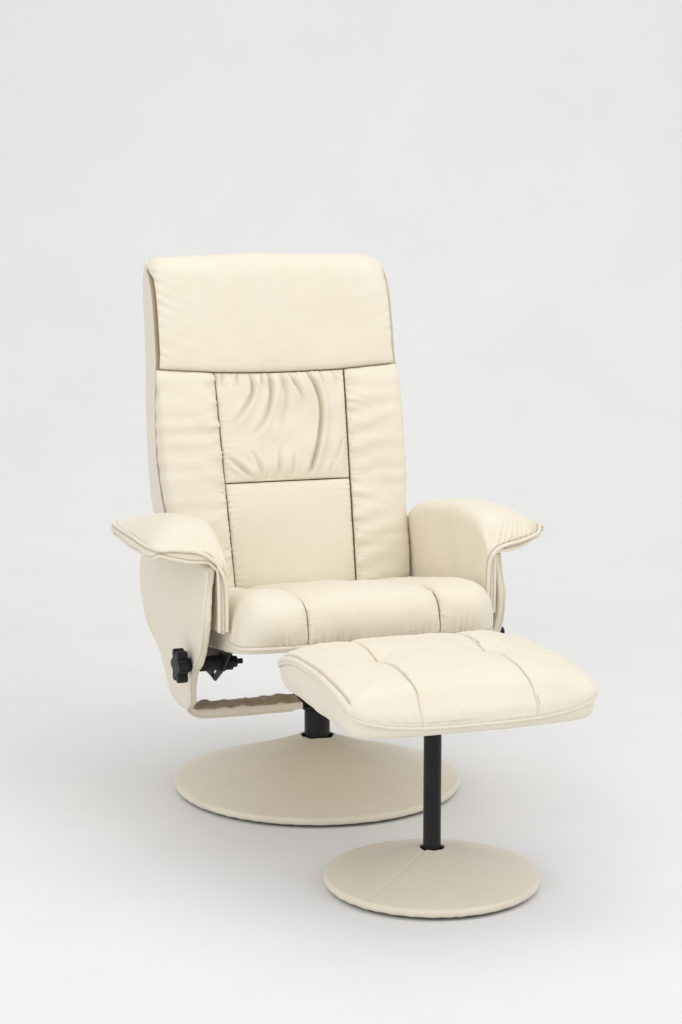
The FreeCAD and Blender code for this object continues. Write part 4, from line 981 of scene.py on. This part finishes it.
pan = soft_copy("seat_pan", "seat_band", 0.005, 6)
subdivide(pan)
co = vertices(pan)
x, depth, height = seat_local(co)
wider = SEAT_BAND_WIDER * step(0.195, 0.225, abs(x)) * step(0.0, 0.06, depth) * step(0.4, 0.36, depth)
co[:, 0] += np.sign(x) * wider
set_vertices(pan, co)
displace(pan, 0.0008 * lumps(co, 0.08, 91))
finish_pad(pan, "seat_pan", "seat", cream)

# Footstool cushion and the band under it, on one rounded plan
STOOL_CHANNEL = 0.097
STOOL_HALF = (0.2165, 0.2025)
STOOL_LOBE_END = 0.205
STOOL_CREST = 0.0985
TUFT_DEPTH = 0.0115


def stool_plan(p, q):
    most = np.maximum(abs(p), abs(q))
    round_norm = (abs(p) ** 18 + abs(q) ** 18) ** (1 / 18)
    scale = 1 + (most / np.maximum(round_norm, 1e-9) - 1) * most ** 8
    bow = 1 - 0.06 * p ** 2 * abs(q) ** 3
    return STOOL_HALF[0] * p * scale, STOOL_HALF[1] * q * scale * bow, most


def stool_seam_height(x, y):
    """Piping: arched along the sides, dipping in the middle of the front and rear."""
    along_side = 0.07 - 0.032 * np.clip(abs(y) / 0.19, 0, 1.06) ** 2.6
    along_end = 0.0165 + 0.0215 * np.clip(abs(x) / 0.208, 0, 1) ** 4
    return STOOL_BOTTOM + along_side + (along_end - along_side) * step(0.172, 0.192, abs(y))


beside = np.array((-0.016, -0.01, -0.006, -0.003, 0, 0.003, 0.006, 0.01, 0.016))
tucks = STOOL_CHANNEL / STOOL_HALF[0] + beside
p = np.sort(np.concatenate([dense_ends(180), tucks, -tucks]))[None, :] + np.zeros((200, 1))
q = dense_ends(200)[:, None] + 0 * p
x, y, most = stool_plan(p, q)
seam = stool_seam_height(x, y)
crest = STOOL_BOTTOM + STOOL_CREST - 0.009 * (y / 0.2) ** 2 - 0.006 * (x / 0.2) ** 2
near = np.where(abs(x) < STOOL_CHANNEL, abs(x) / STOOL_CHANNEL,
                np.clip((STOOL_LOBE_END - abs(x)) / (STOOL_LOBE_END - STOOL_CHANNEL), 0, 1))
lobe = 1 - (1 - np.clip(near, 0, 1) ** 3.5) ** (1 / 2.4)
to_channel = abs(abs(x) - STOOL_CHANNEL)
groove = 0.007 * lobe * bell(to_channel, 0.05) + 0.0035 * bell(to_channel, 0.0016)
tuft_at = np.hypot(to_channel, (y + 0.002) * 0.85)
groove += TUFT_DEPTH * bell(tuft_at, 0.036) + 0.004 * bell(tuft_at, 0.01)
rise = (1 - most ** 3.2) ** (1 / 2.1)
z = seam + (crest - seam - groove) * rise
bulge = 0.0045 * np.sin(np.pi * np.clip(rise, 0, 1)) * step(0.8, 1.0, most)
grid = places(x * (1 + bulge / 0.2), STOOL_Y + y * (1 + bulge / 0.2), z)
rim_gap = (1 - most) * 0.2 + (z - seam) * 0.6
angle = np.arctan2(y, abs(x) - STOOL_CHANNEL)
fold = gathers(x + 1.1 * y + 0.9, rim_gap, 101, 0.024, 0.0013, 0.018)
fold += gathers(y + 0.4, to_channel, 103, 0.018, 0.0008, 0.01)
fold += 0.0008 * np.sin(angle * 6 + 1.3) * bell(tuft_at - 0.03, 0.02)
tuck = bell(STOOL_HALF[0] - 0.011 - abs(x), 0.0022) * step(0.185, 0.165, abs(y))
fold -= 0.0042 * tuck
fold += 0.0013 * flat_lumps(x, y, 0.14, 104) + 0.0005 * flat_lumps(x, y, 0.04, 106)
fold *= step(0, 0.01, rim_gap) * step(0.0015, 0.007, to_channel)


def under_stool(co):
    y = co[:, 1] - STOOL_Y
    return places(co[:, 0] * 0.97, STOOL_Y + y * 0.97, co[:, 2] - 0.004)


stool = sewn_piece("stool_upholstery", lifted(grid, fold, (0, 0, 1)), under_stool)
# Painted shade in the channels, along the rim seam and in the tucks along the sides.
shade_seams(stool, 0.35 * bell(to_channel, 0.001) + bell(rim_gap, 0.0014) + 0.5 * tuck ** 2)
finish_pad(stool, "stool_cushion", "footstool", cream)


def stool_band_piece():
    around = np.linspace(0, 2 * np.pi, 420, endpoint=False)
    p, q = np.cos(around), np.sin(around)
    most = np.maximum(abs(p), abs(q))
    x, y, _ = stool_plan(p / most, q / most)
    seam = stool_seam_height(x, y)
    rows = []
    for a in np.linspace(0, np.pi / 2, 24):
        out, left = quarter(np.array([a]), 2.5)
        shrink = 0.988 - 0.105 * (1 - left[0])
        z = seam - 0.0015 - (seam - 0.0015 - STOOL_BOTTOM) * out[0]
        rows.append(places(x * shrink, STOOL_Y + y * shrink, z))
    for share in (0.8, 0.7):
        rows.append(places(x * share, STOOL_Y + y * share, 0 * x + STOOL_BOTTOM))
    loops = np.array(rows)
    fold = 0.001 * lumps(loops.reshape(-1, 3), 0.08, 107).reshape(loops.shape[:2])
    n = loops - np.array([0, STOOL_Y, STOOL_BOTTOM + 0.05])
    n[..., 2] = 0
    n /= np.linalg.norm(n, axis=2, keepdims=True)
    loops[:20] += (n * fold[..., None])[:20]
    finish_pad(stacked_loops("stool_side_band", loops), "stool_pan", "footstool", cream)
    line = places(x * 0.995, STOOL_Y + y * 0.995, seam - 0.0004)
    return np.vstack([line, line[:1]])


stool_line = stool_band_piece()

# Armrests: piped front edge with gathers over it, two upright seams on the inner face
SIDES = (("left", -1), ("right", 1))
arms = {side: soft_copy(side + "_arm_pad", side + "_armrest", 0.0038, 0) for side, _ in SIDES}
sides = {side: soft_copy(side + "_side_frame", side + "_side_cover", 0.004, 0) for side, _ in SIDES}
for ob in arms.values():
    round_edges(ob, 9)
for ob in sides.values():
    round_edges(ob, 4)


def held_arm(ob):
    """Where an armrest is sewn or rests on its frame: its underside, its leg and its upright faces."""
    no = vertex_normals(ob)
    return (no[:, 2] < -0.35) | (vertices(ob)[:, 2] < 0.48) | (abs(no[:, 0]) > 0.6)


swell([(ob, held_arm(ob)) for ob in arms.values()])
for ob in [*arms.values(), *sides.values()]:
    subdivide(ob)

# Seams of the front edge, as reach and height, and of the outer edge, as reach, depth and height
UPPER_LINES = {
    "left": ((0.386, 0.529), (0.366, 0.529), (0.346, 0.529), (0.324, 0.528), (0.297, 0.523), (0.277, 0.511),
             (0.264, 0.494), (0.2565, 0.474), (0.253, 0.448), (0.252, 0.404), (0.252, 0.379)),
    "right": ((0.386, 0.5255), (0.366, 0.52), (0.346, 0.514), (0.324, 0.509), (0.301, 0.506), (0.277, 0.501),
              (0.264, 0.493), (0.2565, 0.48), (0.253, 0.452), (0.252, 0.404), (0.252, 0.379))}
LOWER_LINE = ((0.366, 0.508), (0.345, 0.502), (0.322, 0.4975), (0.3, 0.4945), (0.28, 0.4915),
              (0.2685, 0.48), (0.2655, 0.452), (0.265, 0.404), (0.265, 0.379))
OUTER_EDGE = ((0.364, 0.114, 0.524), (0.373, 0.106, 0.528), (0.38, 0.085, 0.531), (0.383, 0.05, 0.532),
              (0.384, 0.0, 0.532), (0.384, -0.07, 0.533), (0.384, -0.14, 0.533), (0.382, -0.185, 0.531),
              (0.376, -0.208, 0.529))
UNDER_EDGE = ((0.362, 0.112, 0.51), (0.372, 0.102, 0.512), (0.38, 0.08, 0.513), (0.383, 0.04, 0.513),
              (0.384, -0.02, 0.513), (0.384, -0.09, 0.513), (0.384, -0.15, 0.513), (0.381, -0.19, 0.514),
              (0.374, -0.209, 0.516))
INNER_SEAMS = (0.066, -0.096)
CREST_HEIGHT = 0.53
# The armrests differ in the lift under the wing, the share taken off the crest and the size of the gathers
ARM_SEED = {"left": 121, "right": 141}
LIFT = {"left": 0.011, "right": 0.0}
CREST_SHARE = {"left": 0.05, "right": 0.16}
GATHER = {"left": (0.0022, 0.009), "right": (0.0075, 0.017)}


def arm_front(reach):
    """Depth of the slanting front edge of an armrest."""
    return SHIFT - 0.252 + (reach - 0.251) * 0.2536


def past_turn(reach):
    """From 0 at the armrest's leg to 1 under its wing."""
    return step(0.268, 0.285, reach)


for side, sign in SIDES:
    ob = arms[side]
    co = vertices(ob)
    reach = abs(co[:, 0])
    back_from_edge = np.clip((co[:, 1] - arm_front(reach)) / 0.042, 0, 1)
    above = np.maximum(co[:, 2] - between(UPPER_LINES[side][7::-1], reach), 0) * step(0.25, 0.262, reach)
    co[:, 2] -= above * (1 - back_from_edge) ** 2 * 0.85
    under = past_turn(reach) * step(0.53, 0.51, co[:, 2]) * step(0.375, 0.33, reach)
    co[:, 2] += LIFT[side] * under * step(SHIFT - 0.13, SHIFT - 0.22, co[:, 1])
    co[:, 2] -= np.maximum(co[:, 2] - CREST_HEIGHT, 0) * CREST_SHARE[side]
    set_vertices(ob, co)
    no = vertex_normals(ob)
    upper = [(sign * rx, SHIFT + y, z) for rx, y, z in OUTER_EDGE]
    upper += [(sign * rx, arm_front(rx), z) for rx, z in UPPER_LINES[side][1:]]
    lower = [(sign * rx, SHIFT + y, z) for rx, y, z in UNDER_EDGE]
    lower += [(sign * rx, arm_front(rx) + 0.002, z + LIFT[side] * past_turn(rx)) for rx, z in LOWER_LINE]
    upper, lower = (seated(smooth_line(line, 260), ob) for line in (upper, lower))
    d, run = along(upper, co)
    top = step(0.0, 0.5, no[:, 2] - 0.3 * no[:, 1]) * step(0.262, 0.29, reach)
    fold = gathers(run, d, ARM_SEED[side], 0.0135, *GATHER[side], 0.9) * top * step(0.001, 0.005, d)
    fold *= 0.2 + 0.8 * step(SHIFT - 0.14, SHIFT - 0.19, co[:, 1])
    fold += 0.0011 * lumps(co, 0.14, ARM_SEED[side] + 5) * step(0.0, 0.01, d)
    inner = step(0.6, 0.9, -sign * no[:, 0])
    under_gap, _ = along(lower, co)
    # Painted shade beside both pipings and along the inner seams.
    shaded = 0.6 * bell(d - 0.0036, 0.002) + 0.6 * bell(under_gap - 0.0032, 0.0018)
    for y in INNER_SEAMS:
        gap = co[:, 1] - (SHIFT + y)
        fold -= 0.0018 * bell(gap, 0.003) * inner
        shaded += 0.15 * bell(gap, 0.0022) * inner
    displace(ob, fold)
    shade_seams(ob, shaded)
    finish_pad(ob, side + "_arm_pad", "frame", cream)
    welt(side + "_arm_piping", upper, PIPING_RADIUS, "frame", 420, ob, 0.0014)
    welt(side + "_arm_lower_piping", lower, LOWER_PIPING_RADIUS, "frame", 420, ob, 0.0012)

# Side frames: a bent board with a crumpled cover on the strip, piped along its edges
STRIP_MIDDLE = 0.165
TURN_RADIUS = 0.048
TURN_CENTRE = (0.235, 0.213)
PANEL_RADIUS = 0.7659
PANEL_MIDDLE = 0.3535
PANEL_BULGE = 0.013
# Front and rear edges of the upright panel, as depth and height
FRONT_EDGE = ((-0.035, 0.166), (-0.035, 0.176), (-0.052, 0.19), (-0.1004, 0.2138), (-0.1219, 0.2504),
              (-0.1601, 0.29), (-0.2151, 0.336), (-0.236, 0.38), (-0.239, 0.428), (-0.235, 0.488))
REAR_EDGE = ((0.035, 0.166), (0.035, 0.176), (0.045, 0.19), (0.0672, 0.2078), (0.0816, 0.2594),
             (0.1248, 0.2917), (0.2064, 0.3374), (0.24, 0.3953), (0.2364, 0.488))


def panel_out(z):
    """How far out the panel's face is at a height: a turn up from the strip, then a shallow arc."""
    middle, height = TURN_CENTRE
    if z < height:
        return middle + math.sqrt(max(TURN_RADIUS ** 2 - (height - z) ** 2, 0))
    arc = math.sqrt(PANEL_RADIUS ** 2 - (z - PANEL_MIDDLE) ** 2)
    return middle + TURN_RADIUS + arc - (PANEL_RADIUS - PANEL_BULGE)


for side, sign in SIDES:
    ob = sides[side]
    co = vertices(ob)
    strip_top = step(0.6, 0.9, vertex_normals(ob)[:, 2]) * step(0.215, 0.195, co[:, 2])
    crumple = 0.0026 * lumps(co * np.array([1, 0.6, 1]), 0.036, 163) + 0.0012 * lumps(co, 0.017, 164)
    displace(ob, 0.0006 * lumps(co, 0.1, 161) + strip_top * crumple)
    # Painted shade: the top of the strip, under the seat, is darkened through seam_shade.
    shade_seams(ob, 0.6 * strip_top)
    finish_pad(ob, side + "_side_frame", "frame", cream)
    for name, edge in (("_front_piping", FRONT_EDGE), ("_rear_piping", REAR_EDGE)):
        line = [(sign * px, SHIFT + edge[0][0], STRIP_MIDDLE) for px in (0.06, 0.13, 0.2)]
        line += [(sign * panel_out(z), SHIFT + y, z) for y, z in edge]
        welt(side + name, line, EDGE_PIPING_RADIUS, "frame", 220, ob, 0.0006)


# Covers of the two round bases, with the seams of their gores

def cone_cover(name, node, body, centre_y, radius, cone_height, collar, sag, seams, seed):
    shoulder, lip = 0.021, 0.006
    top = shoulder + cone_height
    rim = radius - 0.007
    profile = [(collar, top - 0.004), (collar + 0.0005, top - 0.0012), (collar + 0.002, top)]
    sagged = ((rim + collar) / 2, (shoulder + top) / 2 - sag)
    cx, cz, cr = three_point_circle((rim, shoulder), sagged, (collar, top))
    for t in np.linspace(0.02, 1, 70):
        r = collar + (rim - collar) * t
        profile.append((r, cz - math.sqrt(max(cr * cr - (r - cx) ** 2, 0))))
    cx, cz, cr = three_point_circle((rim, shoulder), (radius, 2 * lip), (rim, lip))
    start, end = (math.atan2(z - cz, rim - cx) for z in (shoulder, lip))
    for angle in np.linspace(start, end, 16)[1:]:
        profile.append((cx + cr * math.cos(angle), cz + cr * math.sin(angle)))
    profile += [(rim - 0.006, 0.0062), (rim - 0.008, 0.015)]
    profile += [(r - 0.001, z - 0.003) for r, z in profile[72:2:-6]]
    profile = np.array(profile)
    steps = 320
    turns = np.linspace(0, 2 * np.pi, steps, endpoint=False)
    r = profile[None, :, 0] + 0 * turns[:, None]
    z = profile[None, :, 1] + 0 * turns[:, None]
    off = np.zeros_like(r)
    for seam in seams:
        gap = (turns[:, None] - seam + np.pi) % (2 * np.pi) - np.pi
        off -= 0.0016 * bell(gap * r, 0.0028)
    near_rim = bell(r - radius, 0.012)
    off += 0.0007 * ripple(turns * radius, seed, 0.03)[:, None] * near_rim
    pull = np.exp(-(r - collar) / 0.03)
    off += 0.0012 * ripple(turns * 0.1, seed + 2, 0.11)[:, None] * pull
    z = z + off
    rows = places(r * np.sin(turns)[:, None], centre_y - r * np.cos(turns)[:, None], z)
    data = bpy.data.meshes.new(name)
    data.from_pydata(rows.reshape(-1, 3).tolist(), [], loop_faces(steps, len(profile), steps))
    finish_pad(add_object(name, data), node, body, cream_base)


cone_cover("base_upholstery", "base_cover", "base", SHIFT, radius=0.28, cone_height=0.083, collar=0.031,
           sag=0.004, seams=np.radians((-71, 38, 160)), seed=171)
cone_cover("stool_base_upholstery", "stool_base_cover", "footstool", STOOL_Y, radius=0.183, cone_height=0.045,
           collar=0.02, sag=0.002, seams=np.radians((-58, 122)), seed=181)


# Piping of the seat and the footstool

def seat_line():
    side = [(SEAT_HALF, depth) for depth in (0.38, 0.3, 0.22, 0.17, 0.15, 0.135, 0.12, 0.11)]
    corner = list(zip(*seat_corner_line(np.linspace(0, 1, 14))))
    plan = side + corner + [(0.1, -0.0085), (0.0, -0.0095)]
    plan += [(-px, pd) for px, pd in plan[-2::-1]]
    return [seat_place(px, pd, float(seat_seam_height(pd)) - 0.001) for px, pd in plan]


welt("seat_piping", seat_line(), PIPING_RADIUS, "seat", 320)
welt("stool_piping", stool_line, LOWER_PIPING_RADIUS, "footstool", 640)

# Floor, backdrop, light and camera
CAMERA_PLACE = (-1.211, -3.619 + SHIFT, 1.1475)
CAMERA_TILT = math.radians(90 - 8.96)
CAMERA_TURN = math.radians(-19.205)
CAMERA_LENS = 70.3125
BACKDROP_TURN = math.radians(-19.2)


def paper(name, colour):
    finish = Finish(name)
    dark = tuple(c * 0.97 for c in colour)
    finish.colour(finish.tones(finish.noise(2.5, 6.0, 0.65), (0.35, dark), (0.65, colour)))
    finish.set(Roughness=0.9)
    return finish.material


def sweep():
    """Floor that turns up into a backdrop."""
    points = [(-9.0, 0.0), (1.6, 0.0)]
    points += [(1.6 + 2.0 * math.sin(a), 2.0 - 2.0 * math.cos(a)) for a in np.linspace(0.08, math.pi / 2, 18)]
    points.append((3.6, 7.0))
    co, quads = [], []
    c, s = math.cos(BACKDROP_TURN), math.sin(BACKDROP_TURN)
    for y, z in points:
        for px in (-9.0, 9.0):
            co.append((px * c - y * s, px * s + y * c, z))
    for i in range(len(points) - 1):
        quads.append((2 * i, 2 * i + 1, 2 * i + 3, 2 * i + 2))
    data = bpy.data.meshes.new("sweep")
    data.from_pydata(co, [], quads)
    ob = add_object("sweep", data)
    shade_smooth(ob)
    ob.data.materials.append(paper("paper", (0.82, 0.82, 0.82)))


sweep()


def lamp(name, place, target, size, power):
    data = bpy.data.lights.new(name, "AREA")
    data.shape = "RECTANGLE"
    data.size, data.size_y = size
    data.energy = power
    ob = add_object(name, data)
    ob.location = place
    ob.rotation_euler = (Vector(target) - Vector(place)).to_track_quat("-Z", "Y").to_euler()


lamp("key", (2.2, -2.6, 3.4), (0.0, 0.1, 0.5), (3.4, 3.0), 52)
lamp("fill", (-3.2, -2.2, 2.2), (0.0, 0.0, 0.5), (3.2, 3.0), 42)
lamp("overhead", (0.3, 0.4, 3.8), (0.0, 0.0, 0.5), (3.6, 3.6), 35)

world = bpy.data.worlds.new("studio")
bpy.context.scene.world = world
world.use_nodes = True
world.node_tree.nodes["Background"].inputs["Color"].default_value = (1.0, 0.995, 0.985, 1)
world.node_tree.nodes["Background"].inputs["Strength"].default_value = 0.71

camera = bpy.data.cameras.new("camera")
camera.sensor_width = 36.0
camera.lens = CAMERA_LENS
view = add_object("camera", camera)
view.location = CAMERA_PLACE
view.rotation_euler = (CAMERA_TILT, 0, CAMERA_TURN)
bpy.context.scene.camera = view
bpy.context.scene.view_settings.view_transform = "Standard"
